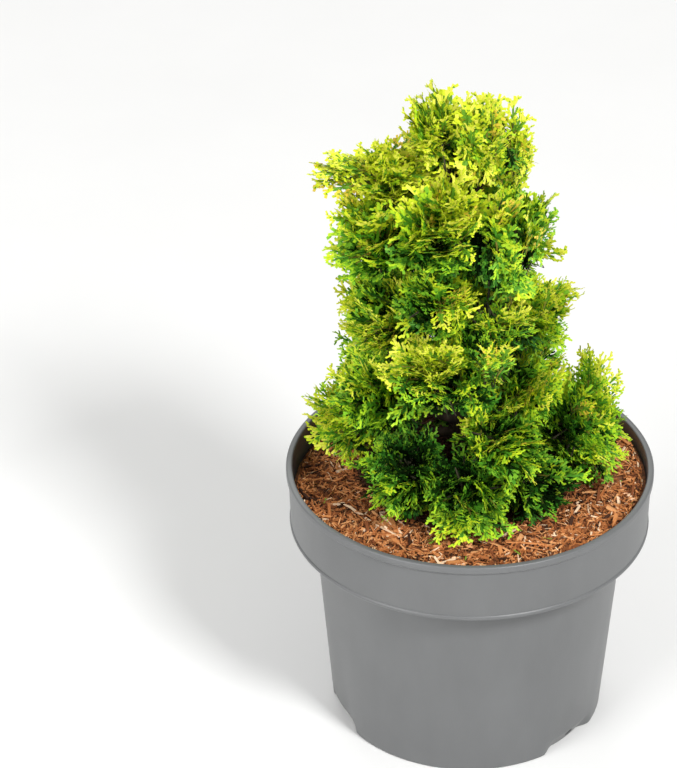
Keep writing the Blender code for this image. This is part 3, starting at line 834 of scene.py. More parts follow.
@dataclass
class SprayPattern:
    """A feather of scale-leaved twiglets: a midrib, alternate side twiglets and blunt teeth along them."""

    seed: int
    twiglets: int
    pitch: float
    tooth_length: float
    tooth_width: float
    length: float = 0.024
    sway: float = 0.14
    rib_width: float = 0.0012
    rib: tuple[tuple[float, float], ...] = ((0.0, 0.9), (0.45, 1.1), (0.86, 1.2))
    rib_ridge: float = 0.46
    fork: tuple[float, ...] = (-25.0, 0.0, 24.0)
    fork_tooth: float = 0.92
    fork_overlap: float = 0.0016
    first_twiglet: float = 0.14
    twiglet_run: float = 0.70
    twiglet_angle: float = 46.0
    twiglet_closing: float = 16.0
    longest_share: float = 0.46
    shortest_share: float = 0.26
    lowest_share: float = 0.75
    low_zone: float = 0.2
    tip_zone: float = 0.62
    inner_zone: float = 0.68
    inner_teeth: float = 0.42
    outer_teeth: float = 0.70
    tooth_taper: float = 0.22
    splay: float = 36.0
    twist: float = 20.0
    cup: float = 16.0
    cup_width: float = 0.35
    droop: float = 0.16

    def __post_init__(self) -> None:
        """Starts the pattern's own chance, the bow of its midrib, and its faces with the part of each."""
        self.rng = random.Random(self.seed)
        self.bow = self.rng.uniform(-self.sway, self.sway)
        self.verts: list[Vector] = []
        self.faces: list[tuple[int, ...]] = []
        self.parts: list[Part] = []

    def build(self, name: str) -> Object:
        """The pattern along +X with its upper side to +Z.

        Args:
            name: The object's name.

        Returns:
            The new object, in no scene.
        """
        side = self.rng.choice((-1.0, 1.0))
        self._rib()
        for k in range(self.twiglets):
            side = -side
            self._twiglet(self.first_twiglet + self.twiglet_run * k / (self.twiglets - 1), side)
        self._bend()
        return pattern_object(name, self.verts, self.faces, self.parts)

    def _midrib(self, share: float) -> Vector:
        """The point at a share of the midrib's length."""
        return Vector((self.length * share, self.length * self.bow * share * share, 0.0))

    def _rib(self) -> None:
        """Adds the midrib, a blade with a ridge, and the fork of teeth at its end."""
        spine = [self._midrib(share) for share, _ in self.rib]
        for k, (point, (_, share)) in enumerate(zip(spine, self.rib)):
            width = self.rib_width * share
            run = spine[min(k + 1, len(spine) - 1)] - spine[max(k - 1, 0)]
            across = UP.cross(run).normalized() * (width / 2)
            self.verts += [point + across, point + UP * (self.rib_ridge * width), point - across]
        for a, part in ((0, Part.TWIG), (3, Part.INNER)):
            self.faces += [(a + 1, a + 4, a + 3, a), (a + 2, a + 5, a + 4, a + 1)]
            self.parts += [part, part]
        ahead = (spine[-1] - spine[-2]).normalized()
        for degrees in self.fork:
            self._tooth(spine[-1] - ahead * self.fork_overlap, ahead, degrees, self.fork_tooth, Part.TIP)

    def _tooth(self, root: Vector, ahead: Vector, degrees: float, share: float, part: Part) -> Vector:
        """Adds a flat, blunt tooth turned from its twiglet's way, its root in the finish before its own.

        Args:
            root: Where the tooth starts.
            ahead: The way of its twiglet.
            degrees: How far it turns from that way, in the feather's plane.
            share: Its length as a share of the usual.
            part: The part of the spray that it belongs to.

        Returns:
            The way that the tooth points.
        """
        rng = self.rng
        heading = Matrix.Rotation(math.radians(degrees), 3, "Z") @ ahead
        heading = (heading + UP * rng.uniform(-0.10, 0.16)).normalized()
        normal = (UP + Vector((rng.uniform(-0.35, 0.35), rng.uniform(-0.35, 0.35), 0.0))).normalized()
        across = normal.cross(heading).normalized() * (self.tooth_width * rng.uniform(0.88, 1.12) / 2)
        length, first = self.tooth_length * share, len(self.verts)
        self.verts.append(root)
        self.verts += [root + heading * (along * length) + across * aside for along, aside in TOOTH_CORNERS]
        self.faces += [(first, first + 1, first + 4), (first + 1, first + 2, first + 3, first + 4)]
        self.parts += [Part(max(part - 1, Part.INNER)), part]
        return heading

    def _twiglet(self, share: float, side: float) -> None:
        """Adds one side twiglet: a long tooth with shorter teeth along it.

        Args:
            share: How far along the midrib the twiglet leaves it.
            side: 1 for the left side, -1 for the right.
        """
        rng = self.rng
        root = self._midrib(share)
        reach = self.shortest_share + (self.longest_share - self.shortest_share) * (1.0 - share)
        reach *= self.length * rng.uniform(0.80, 1.15) * (self.lowest_share if share < self.low_zone else 1.0)
        degrees = (self.twiglet_angle - self.twiglet_closing * share + rng.uniform(-6.0, 6.0)) * side
        outer = Part.TIP if share > self.tip_zone else Part.OUTER
        ahead = self._tooth(root, Vector((1.0, 0.0, 0.0)), degrees, reach / self.tooth_length, outer)
        count = int(reach / self.pitch)
        for k in range(count):
            along = (k + 0.55) / (count + 0.35)
            turn = (self.splay + rng.uniform(-7.0, 7.0)) * (side if k % 2 else -side)
            part = Part.OUTER if along < self.outer_teeth else Part.TIP
            if along < self.inner_teeth and share < self.inner_zone:
                part = Part.INNER
            length = (1.0 - self.tooth_taper * along) * rng.uniform(0.80, 1.08)
            self._tooth(root + ahead * (along * reach), ahead, turn, length, part)

    def _bend(self) -> None:
        """Cups, twists and arches the flat feather."""
        twist = math.radians(self.rng.uniform(-self.twist, self.twist))
        cup = math.radians(self.rng.uniform(0.1, 1.0) * self.cup)
        droop = self.rng.uniform(-0.6, 1.0) * self.droop
        edge = self.cup_width * self.length
        for k, vert in enumerate(self.verts):
            share = vert.x / self.length
            angle = twist * share - math.copysign(cup, vert.y) * min(abs(vert.y) / edge, 1.0)
            y = vert.y * math.cos(angle) - vert.z * math.sin(angle)
            z = vert.y * math.sin(angle) + vert.z * math.cos(angle)
            self.verts[k] = Vector((vert.x, y, z - droop * self.length * share * share))


class Mass:
    """One mass of foliage: its place, its bough, the walls of the space it keeps to and its own chance."""

    rounding = 6.0

    def __init__(self, tier: Tier, lobe: Lobe, number: int) -> None:
        """Takes the mass's sizes from its tier and its lobe, and seeds its chance by its number."""
        self.rng = random.Random(SEED * 1000 + number)
        self.tier = tier
        self.name = f"{tier.name}_{lobe.name}"
        self.gold = tier.gold + lobe.gold
        self.strand = lobe.strand
        self.centre = Vector((lobe.x, lobe.y, lobe.height))
        self.size = Vector((lobe.half_width, lobe.half_width, lobe.half_height))
        self.spurs = lobe.spurs
        self.walls: Spine = []
        self.bough: Spine = []
        self.tip_direction = UP.copy()

    def extent(self, direction: Vector) -> float:
        """How far the ellipsoid reaches towards a tangent plane square to a direction."""
        return Vector([s * d for s, d in zip(self.size, direction)]).length

    def reach(self, direction: Vector) -> float:
        """The distance from the middle to the ellipsoid's surface along a direction."""
        return 1.0 / Vector([d / s for s, d in zip(self.size, direction)]).length

    def room(self, direction: Vector) -> float:
        """The distance from the middle to the nearest wall along a direction.

        Args:
            direction: A unit vector.

        Returns:
            The distance, or 1 m where no wall is met.
        """
        nearest = 1.0
        for normal, offset in self.walls:
            slope = normal.dot(direction)
            if slope > 1e-6:
                nearest = min(nearest, (offset - normal.dot(self.centre)) / slope)
        return nearest

    def rounded_reach(self, direction: Vector) -> float:
        """The distance from the middle to the mass's outline, rounded off where a wall is near."""
        terms = self.reach(direction) ** -self.rounding + self.room(direction) ** -self.rounding
        return terms ** (-1.0 / self.rounding)

    def outside_by(self, point: Vector) -> float:
        """How far a point lies beyond the mass's walls, or below 0 within them."""
        return max(normal.dot(point) - offset for normal, offset in self.walls)


@dataclass
class Limbs:
    """The trunk and the boughs, laid out by the source's rule and skinned with bark relief."""

    lowest_bough: float = TRUNK_FOOT + 0.010
    root_share: float = 0.42
    tip_radius: float = 0.0011
    shortest_share: float = 0.35
    sag: float = 0.05
    stations: int = 4
    core_share: float = 0.74
    stem_length: float = 0.0030
    flare_height: float = 0.012
    buttresses: int = 5
    buttress_swell: float = 0.16
    trunk_sides: int = 44
    trunk_rings: int = 130
    bough_sides: int = 12
    bough_rings: int = 26
    bark_depth: float = 0.00055
    bough_relief: float = 0.45
    bough_collar: float = 1.12
    deepest_seat: float = 0.003
    core_taper: tuple[float, float] = (0.70, 0.35)
    bark_turn: float = 260.0
    bark_run: float = 90.0
    strip_scale: float = 1.6
    strip_share: float = 0.6
    fleck_scale: float = 4.0
    fleck_share: float = 0.5
    bark_finish: MottledFinish = MottledFinish(
        "stem_bark_relief", (0.062, 0.040, 0.024), (0.020, 0.013, 0.008), 0.88, 260.0,
        (1.0, 1.0, 0.22), 0.36, 0.62, 900.0, (1.0, 1.0, 0.15), 0.6, 0.0006,
    )

    def trunk_at(self, height: float) -> tuple[Vector, float]:
        """The trunk's middle and radius at a height.

        Args:
            height: The height, kept between the trunk's foot and tip.

        Returns:
            The middle and the radius.
        """
        height = clamp(height, TRUNK[0].height, TRUNK[-1].height)
        low, high = next((a, b) for a, b in zip(TRUNK, TRUNK[1:]) if height <= b.height)
        share = (height - low.height) / (high.height - low.height)
        return low.middle.lerp(high.middle, share), low.radius + (high.radius - low.radius) * share

    def lay_bough(self, mass: Mass) -> None:
        """Gives a mass its bough's stations and the way that the bough ends.

        Args:
            mass: The mass that the bough carries.
        """
        if mass.name == LEADER:
            mass.bough = [self.trunk_at(TRUNK[-1].height)]
            return
        middle, trunk_radius = self.trunk_at(max(mass.centre.z - mass.tier.branch_rise, self.lowest_bough))
        outward = Vector((mass.centre.x - middle.x, mass.centre.y - middle.y, 0.0)).normalized()
        root = middle + outward * (trunk_radius + 2.0 * CLEAR)
        root_radius = max(trunk_radius * self.root_share, self.tip_radius)
        way = mass.centre - root
        core = mass.reach(-way.normalized()) * self.core_share
        length = max(way.length - core - self.stem_length, self.shortest_share * way.length)
        tip = root + way * (length / way.length)
        for step in range(self.stations):
            share = step / (self.stations - 1)
            sag = 4.0 * share * (1.0 - share) * self.sag * (tip - root).length
            radius = root_radius + (self.tip_radius - root_radius) * share
            mass.bough.append((root.lerp(tip, share) - UP * sag, radius))
        mass.tip_direction = (mass.bough[-1][0] - mass.bough[-2][0]).normalized()

    def _skin(self, spine: Spine, sides: int, count: int, relief: float, flare: bool) -> Skin:
        """A bark skin along a limb.

        Args:
            spine: Points and radii along the limb.
            sides: How many sides its rings have.
            count: How many rings it has.
            relief: The depth of its bark's furrows.
            flare: True to swell the foot into buttresses.

        Returns:
            The points and faces of the closed skin.
        """
        rings = []
        lengths = [0.0]
        for (a, _), (b, _) in zip(spine, spine[1:]):
            lengths.append(lengths[-1] + (b - a).length)
        for ring_number in range(count):
            along = lengths[-1] * ring_number / (count - 1)
            run = next((k for k in range(len(spine) - 2) if along <= lengths[k + 1]), len(spine) - 2)
            share = (along - lengths[run]) / (lengths[run + 1] - lengths[run])
            point, radius = smooth_station(spine, run, share)
            ahead = (smooth_station(spine, run, share + 0.05)[0] - point).normalized()
            reference = Vector((0.0, 1.0, 0.0)) if abs(ahead.z) > 0.85 else UP
            side = ahead.cross(reference).normalized()
            up = side.cross(ahead).normalized()
            swell = max(0.0, 1.0 - along / self.flare_height) * self.buttress_swell if flare else 0.0
            ring = []
            for k in range(sides):
                turn = 2.0 * math.pi * k / sides
                out = side * math.cos(turn) + up * math.sin(turn)
                reach = radius * (1.0 + swell * math.cos(self.buttresses * turn))
                reach += relief * self._furrow(turn, along, radius)
                ring.append(point + out * reach)
            rings.append(ring)
        return lofted(rings)

    def _furrow(self, turn: float, along: float, radius: float) -> float:
        """The relief of stringy bark at a place on a limb, from about -1 to 1.

        Args:
            turn: The angle round the limb.
            along: The distance up the limb.
            radius: The limb's radius.

        Returns:
            The height of the bark there, as a share of its depth.
        """
        scale = self.bark_turn * max(radius, 0.002)
        place = Vector((math.cos(turn) * scale, math.sin(turn) * scale, along * self.bark_run))
        strip = 1.0 - 2.0 * abs(noise.noise(place * self.strip_scale))
        return self.strip_share * strip + self.fleck_share * noise.noise(place * self.fleck_scale)

    def _piece(self, name: str, skins: list[Skin]) -> Object:
        """Joins limb skins into one bark piece.

        Args:
            name: The piece's name.
            skins: The points and faces of each skin.

        Returns:
            The dressed piece.
        """
        mesh = mesh_of(name, *joined(skins))
        mesh.shade_smooth()
        mesh.materials.append(bpy.data.materials.get(self.bark_finish.name) or self.bark_finish.material())
        return add_object(name, mesh)

    def build_trunk(self) -> Object:
        """The trunk's bark."""
        spine = [(s.middle, s.radius) for s in TRUNK]
        skin = self._skin(spine, self.trunk_sides, self.trunk_rings, self.bark_depth, True)
        return self._piece("trunk_bark", [skin])

    def build_boughs(self, masses: list[Mass]) -> Object:
        """The boughs' bark, each from inside the trunk to the middle of its mass.

        Args:
            masses: The masses, with their boughs laid.

        Returns:
            The boughs as one piece.
        """
        skins = []
        for mass in masses:
            spine = list(mass.bough)
            if mass.name != LEADER:
                start, radius = spine[0]
                inward = (start - spine[1][0]).normalized()
                seat = min(0.6 * radius + 2.0 * CLEAR, self.deepest_seat)
                spine.insert(0, (start + inward * seat, radius * self.bough_collar))
            tip, radius = spine[-1]
            halfway = tip.lerp(mass.centre, 0.5) + mass.tip_direction * 0.002
            spine += [(place, radius * s) for place, s in zip((halfway, mass.centre), self.core_taper)]
            relief = self.bark_depth * self.bough_relief
            skins.append(self._skin(spine, self.bough_sides, self.bough_rings, relief, False))
        return self._piece("boughs_bark", skins)


def smooth_station(spine: Spine, run: int, share: float) -> tuple[Vector, float]:
    """A point and radius on the smooth curve through a limb's stations.

    Args:
        spine: Points and radii along the limb.
        run: The stretch between stations that the point is on.
        share: How far along that stretch it is.

    Returns:
        The point and the radius there.
    """
    before, after = spine[max(run - 1, 0)], spine[min(run + 2, len(spine) - 1)]
    a, b = spine[run], spine[run + 1]
    out_way = (b[0] - before[0]) * 0.5
    in_way = (after[0] - a[0]) * 0.5
    s2, s3 = share * share, share * share * share
    point = a[0] * (2 * s3 - 3 * s2 + 1) + out_way * (s3 - 2 * s2 + share)
    point += b[0] * (3 * s2 - 2 * s3) + in_way * (s3 - s2)
    return point, a[1] + (b[1] - a[1]) * min(share, 1.0)


@dataclass(frozen=True)
class Shell:
    """One layer of branchlets in a mass: their spacing, their tips' share of the reach and their sprays, with
    its dimming as painted shade on their tones.
    """

    spacing: float
    nearest: float
    furthest: float
    detail: Detail
    sprays: int
    scale: float
    dimming: float


@dataclass(frozen=True)
class SkyGap:
    """A narrow way straight through the crown, along the photograph's line of sight, where the sky shows."""

    x: float
    z: float
    radius: float

    def holds(self, point: Vector) -> bool:
        """Whether a point lies in the gap."""
        offset = point - Vector((self.x, 0.0, self.z))
        return (offset - SIGHT * offset.dot(SIGHT)).length < self.radius


@dataclass(frozen=True)
class Cleft:
    """A shady hollow between boughs, where no outer spray grows and the sprays round it take painted shade.
    """

    middle: Vector
    radius: float
    mouth: float = 0.022
    depth: float = 0.007

    def shade(self, point: Vector) -> float:
        """How much painted shade a point takes: 1 or more inside the hollow, down to 0 half a radius beyond
        it.
        """
        offset = point - self.middle
        inward = min(max(offset.dot(SIGHT), -self.mouth), self.depth)
        return max(3.0 - 2.0 * (offset - SIGHT * inward).length / self.radius, 0.0)


@dataclass(frozen=True)
class Branchlet:
    """A flat fan of sprays on one twig: where it ends, where it points and how its upper side faces."""

    tip: Vector
    heading: Vector
    normal: Vector
    reach: float
    glow: float


@dataclass
class Foliage:
    """The masses of foliage: branchlets in shells, their sprays and twigs, and the tones they take."""

    twigs: Twigs
    limb_margin: float = 0.0006
    lobe_gap: float = 0.0006
    root_share: float = 0.45
    upright: float = 1.20
    slimness: float = 1.1
    least_lean: float = 0.25
    crossing: float = 0.0020
    least_room: float = 0.52
    inner_reach: float = 0.92
    swing: float = 0.12
    roll: float = 30.0
    loose_roll: float = 90.0
    loose_share: float = 0.34
    stray_share: float = 0.10
    stray_reach: float = 1.10
    spur_reach: float = 0.85
    spur_glow: float = 0.05
    tuft_glow: float = 0.12
    crevice_shade: float = 1.2
    upper_light: float = 0.21
    cluster_scale: float = 40.0
    cluster_glow: float = 0.42
    patch_scale: float = 16.0
    patch_glow: float = 0.24
    tip_glow: float = 0.10
    node_fade: float = 0.06
    bronze_glow: float = 0.45
    bronze_share: float = 0.04
    darkest_glow: float = -0.60
    tone_step: float = 0.16
    tone_jitter: float = 0.12
    spray_length: float = SprayPattern.length
    longest_spray: float = 1.15
    tip_seat: float = 0.92
    side_seat: float = 0.62
    node_spacing: float = 0.0052
    side_angle: float = 38.0
    strand_closing: float = 0.60
    spray_offset: float = 0.0012
    spray_tilt: float = 14.0
    places: tuple[float, ...] = (0.25, 0.6, 1.0)
    mulch_clearance: float = 0.002
    hub_share: float = 0.25
    foot_share: float = 1.5
    run_on: float = 0.7
    twig_radius: float = 0.00045
    shells: tuple[Shell, ...] = (
        Shell(0.0165, 0.74, 1.00, Detail.FINE, 5, 1.0, 0.00),
        Shell(0.0205, 0.56, 0.76, Detail.MEDIUM, 4, 0.95, 0.46),
        Shell(0.0135, 0.30, 0.58, Detail.COARSE, 3, 0.85, 0.80),
    )
    sky_gaps: tuple[SkyGap, ...] = tuple(SkyGap(*row) for row in SKY_GAPS)
    clefts: tuple[Cleft, ...] = tuple(Cleft(Vector(place), radius) for *place, radius in CLEFTS)
    cleft_shade: float = 0.75
    darkest_shade: float = 1.3
    cave_radius: float = 0.006
    masses: list[Mass] = field(default_factory=list)
    variants: dict[Detail, list[int]] = field(default_factory=dict)

    @property
    def caves(self) -> tuple[Cleft, ...]:
        """The clefts that are wide enough to be clear of the middle shell too."""
        return tuple(cleft for cleft in self.clefts if cleft.radius > self.cave_radius)

    def raise_walls(self) -> None:
        """Gives each mass the flat walls between it and its neighbours, the limbs and the mulch."""
        for mass in self.masses:
            walls = [(-UP, -(MULCH_CROWN + self.lobe_gap))]
            for other in self.masses:
                if other is mass:
                    continue
                between = other.centre - mass.centre
                normal = between.normalized()
                own = mass.extent(normal)
                share = own / (own + other.extent(normal))
                walls.append((normal, normal.dot(mass.centre) + between.length * share - self.lobe_gap / 2))
            for low, high in zip(TRUNK, TRUNK[1:]):
                radius = 0.0 if mass.name == LEADER else low.radius
                walls.append(self._limb_wall(mass, low.middle, high.middle, radius))
            for other in self.masses:
                for (start, radius), (end, _) in zip(other.bough, other.bough[1:]):
                    walls.append(self._limb_wall(mass, start, end, 0.0 if other is mass else radius))
            mass.walls = walls

    def _limb_wall(self, mass: Mass, start: Vector, end: Vector, radius: float) -> tuple[Vector, float]:
        """A wall that keeps a mass on its own side of a straight run of limb.

        Args:
            mass: The mass.
            start: One end of the run.
            end: Its other end.
            radius: The limb's radius.

        Returns:
            The wall's normal and offset.
        """
        run = end - start
        share = clamp((mass.centre - start).dot(run) / run.length_squared)
        foot = start + run * share
        normal = (foot - mass.centre).normalized()
        return normal, normal.dot(foot) - radius - self.limb_margin

    def patterns(self) -> list[Object]:
        """The patterns that every spray copies. Notes their numbers by how finely they are cut.

        Returns:
            The patterns, named so that their order by name is the order of their numbers.
        """
        made: list[Object] = []
        for detail in Detail:
            count, seed, *shape = detail.value
            self.variants[detail] = list(range(len(made), len(made) + count))
            for k, number in enumerate(self.variants[detail]):
                name = f"spray_{number:02d}_{detail.name.lower()}"
                made.append(SprayPattern(seed + k, *shape).build(name))
        return made

    def glow(self, mass: Mass, direction: Vector, dimming: float) -> float:
        """How golden a branchlet is by its patch of the crown, with painted light on the upper side of its
        mass and painted shade in crevices and inner shells.

        Args:
            mass: The branchlet's mass.
            direction: The way from the mass's middle to the branchlet's tip.
            dimming: The painted shade of its shell.

        Returns:
            About 0 for the deepest green to 1 for gold.
        """
        own = mass.reach(direction)
        tip = mass.centre + direction * own
        patches = self.cluster_glow * noise.noise(tip * self.cluster_scale)
        patches += self.patch_glow * noise.noise(tip * self.patch_scale)
        # Painted shade where a wall rounds the mass off, and painted light on its upper side.
        crevice = 1.0 - mass.rounded_reach(direction) / own
        return mass.gold + self.upper_light * direction.z - dimming - self.crevice_shade * crevice + patches

    def tone(self, mass: Mass, glow: float, dimming: float) -> Tone:
        """Deals a spray its tone.

        Args:
            mass: The spray's mass.
            glow: How golden the spray is.
            dimming: The painted shade of its shell.

        Returns:
            The tone.
        """
        if not dimming and glow > self.bronze_glow and mass.rng.random() < self.bronze_share:
            return Tone.BRONZE
        scale = [tone for tone in Tone if tone is not Tone.BRONZE]
        jitter = mass.rng.uniform(-self.tone_jitter, self.tone_jitter)
        step = math.floor((glow + jitter - self.darkest_glow) / self.tone_step)
        return scale[clamp(step, 0, len(scale) - 1)]

    def _growth(self, mass: Mass) -> Vector:
        """The way that a mass's branchlets lean: along its bough, and the more upright the taller it is."""
        slim = max(mass.size.z / mass.size.x - self.slimness, 0.0)
        return (mass.tip_direction + UP * (mass.tier.spray_lift + self.upright * slim)).normalized()

    def _normal(self, mass: Mass, direction: Vector, heading: Vector) -> Vector:
        """The way that a branchlet's upper side faces: out of its mass, rolled by chance.

        Args:
            mass: The branchlet's mass.
            direction: The way from the mass's middle to the branchlet.
            heading: The way that the branchlet points.

        Returns:
            A unit vector square to the heading.
        """
        normal = direction - heading * direction.dot(heading)
        if normal.length < self.least_lean:
            normal = UP - heading * heading.z
        if normal.length < self.least_lean:
            normal = heading.orthogonal()
        widest = self.loose_roll if mass.rng.random() < self.loose_share else self.roll
        roll = math.radians(mass.rng.uniform(-widest, widest))
        return (Matrix.Rotation(roll, 3, heading) @ normal.normalized()).normalized()

    def branchlets(self, mass: Mass, shell: Shell) -> list[Branchlet]:
        """Evenly spread branchlets over one shell of a mass, on the golden spiral.

        Args:
            mass: The mass.
            shell: The shell.

        Returns:
            The branchlets, with those that would leave the mass's space skipped.
        """
        rng = mass.rng
        area = 4.0 * math.pi * (mass.size.x * mass.size.x * mass.size.z) ** (2.0 / 3.0)
        count = int(area * shell.furthest**2 / shell.spacing**2)
        spin = rng.uniform(0.0, 2.0 * math.pi)
        growth = self._growth(mass)
        root = mass.centre - growth * (self.root_share * mass.reach(-growth))
        found = []
        for k in range(count):
            z = 1.0 - 2.0 * (k + 0.5) / count
            radius = math.sqrt(1.0 - z * z)
            turn = GOLDEN_ANGLE * k + spin
            direction = Vector((radius * math.cos(turn), radius * math.sin(turn), z))
            open_side = mass.room(direction) >= self.least_room * mass.reach(direction)
            if not open_side and shell.detail is not Detail.COARSE:
                continue
            furthest = shell.furthest if open_side else self.inner_reach
            reach = mass.rounded_reach(direction) * rng.uniform(shell.nearest, furthest)
            if shell is self.shells[0] and rng.random() < self.stray_share:
                reach *= self.stray_reach
            jitter = Vector([rng.uniform(-self.swing, self.swing) for _ in range(3)])
            tip = mass.centre + direction * reach
            fanned = (tip - root).normalized() + jitter
            heading = fanned.lerp(UP * math.copysign(1.0, direction.z), mass.strand).normalized()
            glow = self.glow(mass, direction, shell.dimming)
            found.append(Branchlet(tip, heading, self._normal(mass, direction, heading), reach, glow))
        return found

    def spurs(self, mass: Mass) -> list[Branchlet]:
        """A mass's long single branchlets and its tufts.

        Args:
            mass: The mass.

        Returns:
            The branchlets.
        """
        found = []
        for azimuth, elevation, reach in mass.spurs:
            way = pointing(azimuth, elevation)
            tip = mass.centre + way * (reach * self.spur_reach)
            found.append(Branchlet(tip, way, self._normal(mass, way, way), reach, mass.gold + self.spur_glow))
        for azimuth, elevation, reach in TUFTS.get(mass.name, ()):
            way = pointing(azimuth, elevation)
            # Painted light on the upper side of the mass.
            glow = mass.gold + self.upper_light * way.z + self.tuft_glow
            found.append(Branchlet(mass.centre + way * reach, way, self._normal(mass, way, way), reach, glow))
        return found

    def grow(self, mass: Mass) -> list[Copy]:
        """Grows the sprays and twigs of one mass.

        Args:
            mass: The mass.

        Returns:
            The copies of the patterns.
        """
        copies = []
        for shell in self.shells:
            found = self.branchlets(mass, shell)
            if shell is self.shells[0]:
                found += self.spurs(mass)
            for branchlet in found:
                copies += self._sprays(mass, branchlet, shell)
        return copies

    def _sprays(self, mass: Mass, branchlet: Branchlet, shell: Shell) -> list[Copy]:
        """The sprays of one branchlet: one at its tip and the rest alternately beside it.

        Args:
            mass: The branchlet's mass.
            branchlet: The branchlet.
            shell: Its shell.

        Returns:
            The copies of the patterns.
        """
        rng = mass.rng
        variants = self.variants[mass.tier.cut if shell.detail is Detail.FINE else shell.detail]
        copies = []
        longest = self.longest_spray * branchlet.reach / self.spray_length
        size = min(shell.scale * rng.uniform(0.85, 1.12), longest)
        side = rng.choice((-1.0, 1.0))
        for k in range(shell.sprays):
            side = -side
            node = max(k - 1, 0) * self.node_spacing * rng.uniform(0.85, 1.15) * size
            angle = 0.0 if k == 0 else math.radians(self.side_angle + rng.uniform(-8.0, 8.0)) * side
            angle *= 1.0 - self.strand_closing * mass.strand
            turn = Matrix.Rotation(angle, 3, branchlet.normal)
            heading = (turn @ branchlet.heading + branchlet.normal * rng.uniform(-0.14, 0.14)).normalized()
            share = size * (1.0 if k == 0 else rng.uniform(0.62, 0.86))
            back = self.spray_length * (size * (self.side_seat if k else self.tip_seat)) + node
            root = branchlet.tip - branchlet.heading * back
            root += branchlet.normal * rng.uniform(-self.spray_offset, self.spray_offset)
            end = root + heading * (share * self.spray_length)
            lowest = MULCH_CROWN + self.mulch_clearance
            if min(root.z, end.z) < lowest or mass.outside_by(end) > self.crossing:
                continue
            places = [root.lerp(end, s) for s in self.places]
            if any(gap.holds(place) for gap in self.sky_gaps for place in places):
                continue
            shade = max(cleft.shade(place) for cleft in self.clefts for place in places)
            deep = max(cleft.shade(place) for cleft in self.caves for place in places)
            if {Detail.FINE: shade, Detail.MEDIUM: deep}.get(shell.detail, 0.0) > 1.0:
                continue
            normal = branchlet.normal - heading * branchlet.normal.dot(heading)
            tilt = math.radians(rng.uniform(-self.spray_tilt, self.spray_tilt))
            normal = (Matrix.Rotation(tilt, 3, heading) @ normal.normalized()).normalized()
            glow = branchlet.glow + self.tip_glow - self.node_fade * k
            # Painted shade: sprays near a cleft take darker tones.
            glow -= self.cleft_shade * min(shade, self.darkest_shade)
            tone = self.tone(mass, glow, shell.dimming)
            scale = (share, share * rng.uniform(0.85, 1.15), share)
            copies.append(Copy(root, turned(heading, normal), scale, rng.choice(variants), tone.number))
        if copies:
            foot = branchlet.tip - branchlet.heading * (self.spray_length * size * self.foot_share)
            hub = mass.centre + (foot - mass.centre) * self.hub_share
            beyond = self.spray_length * size * self.run_on
            self.twigs.add(hub, foot, branchlet.heading, self.twig_radius, beyond)
        return copies


@dataclass
class Twigs:
    """Thin twigs from the middle of each mass to its sprays, skinned along their paths by Geometry Nodes."""

    sides: int = 4
    taper: tuple[float, ...] = (1.8, 1.4, 1.0, 0.8)
    bend_share: float = 0.55
    bend_back: float = 0.10
    finish: MottledFinish = MottledFinish(
        "twig_bark", (0.050, 0.042, 0.016), (0.020, 0.018, 0.008), 0.8, 300.0,
    )
    points: list[Vector] = field(default_factory=list)
    radii: list[float] = field(default_factory=list)
    edges: list[tuple[int, int]] = field(default_factory=list)

    def add(self, start: Vector, end: Vector, heading: Vector, radius: float, beyond: float) -> None:
        """Adds a twig that bends into its branchlet's heading.

        Args:
            start: Where the twig leaves the middle of its mass.
            end: The branchlet's foot.
            heading: The way that the branchlet points.
            radius: The twig's radius at the foot.
            beyond: How far the twig runs on along the branchlet.
        """
        run = (end - start).length
        bend = start.lerp(end, self.bend_share) - heading * (self.bend_back * run)
        first = len(self.points)
        self.points += [start, bend, end, end + heading * beyond]
        self.radii += [radius * share for share in self.taper]
        self.edges += [(first + k, first + k + 1) for k in range(3)]

    def tree(self) -> NodeTree:
        """The node tree that skins each path.

        Returns:
            A tree with inputs for the twigs' thickness and sides, and for their finish.
        """
        group = NodeGroup("twig_skin", "GeometryNodeTree", (
            ("Geometry", "NodeSocketGeometry", None),
            ("Thickness", "NodeSocketFloat", 1.0),
            ("Sides", "NodeSocketInt", 4),
            ("Finish", "NodeSocketMaterial", None),
        ), (("Geometry", "NodeSocketGeometry"),))
        given = group.entry.outputs
        radii = group.node("ShaderNodeMath", {
            0: group.attribute("thickness", "FLOAT"), 1: given["Thickness"],
        }, operation="MULTIPLY").outputs[0]
        paths = group.node("GeometryNodeMeshToCurve", {"Mesh": given["Geometry"]}).outputs["Curve"]
        curve = group.node("GeometryNodeSetCurveRadius", {"Curve": paths, "Radius": radii}).outputs["Curve"]
        outline = group.node("GeometryNodeCurvePrimitiveCircle", {
            "Resolution": given["Sides"], "Radius": 1.0,
        }, mode="RADIUS").outputs["Curve"]
        skin = group.node("GeometryNodeCurveToMesh", {
            "Curve": curve, "Profile Curve": outline, "Fill Caps": True,
        })
        if "Scale" in skin.inputs:
            group.tree.links.new(radii, skin.inputs["Scale"])
        real = group.node("GeometryNodeRealizeInstances", {"Geometry": skin.outputs["Mesh"]})
        dress = group.node("GeometryNodeSetMaterial", {
            "Geometry": real.outputs["Geometry"], "Material": given["Finish"],
        })
        return group.put_out(Geometry=dress.outputs["Geometry"])

    def build(self) -> Object:
        """All twigs as one piece.

        Returns:
            The dressed piece, as a plain mesh.
        """
        mesh = bpy.data.meshes.new("twigs")
        mesh.from_pydata([tuple(p) for p in self.points], self.edges, [])
        attribute = mesh.attributes.new("thickness", "FLOAT", "POINT")
        attribute.data.foreach_set("value", self.radii)
        obj = add_object("twigs", mesh)
        return run_nodes(obj, self.tree(), Thickness=1.0, Sides=self.sides, Finish=self.finish.material())


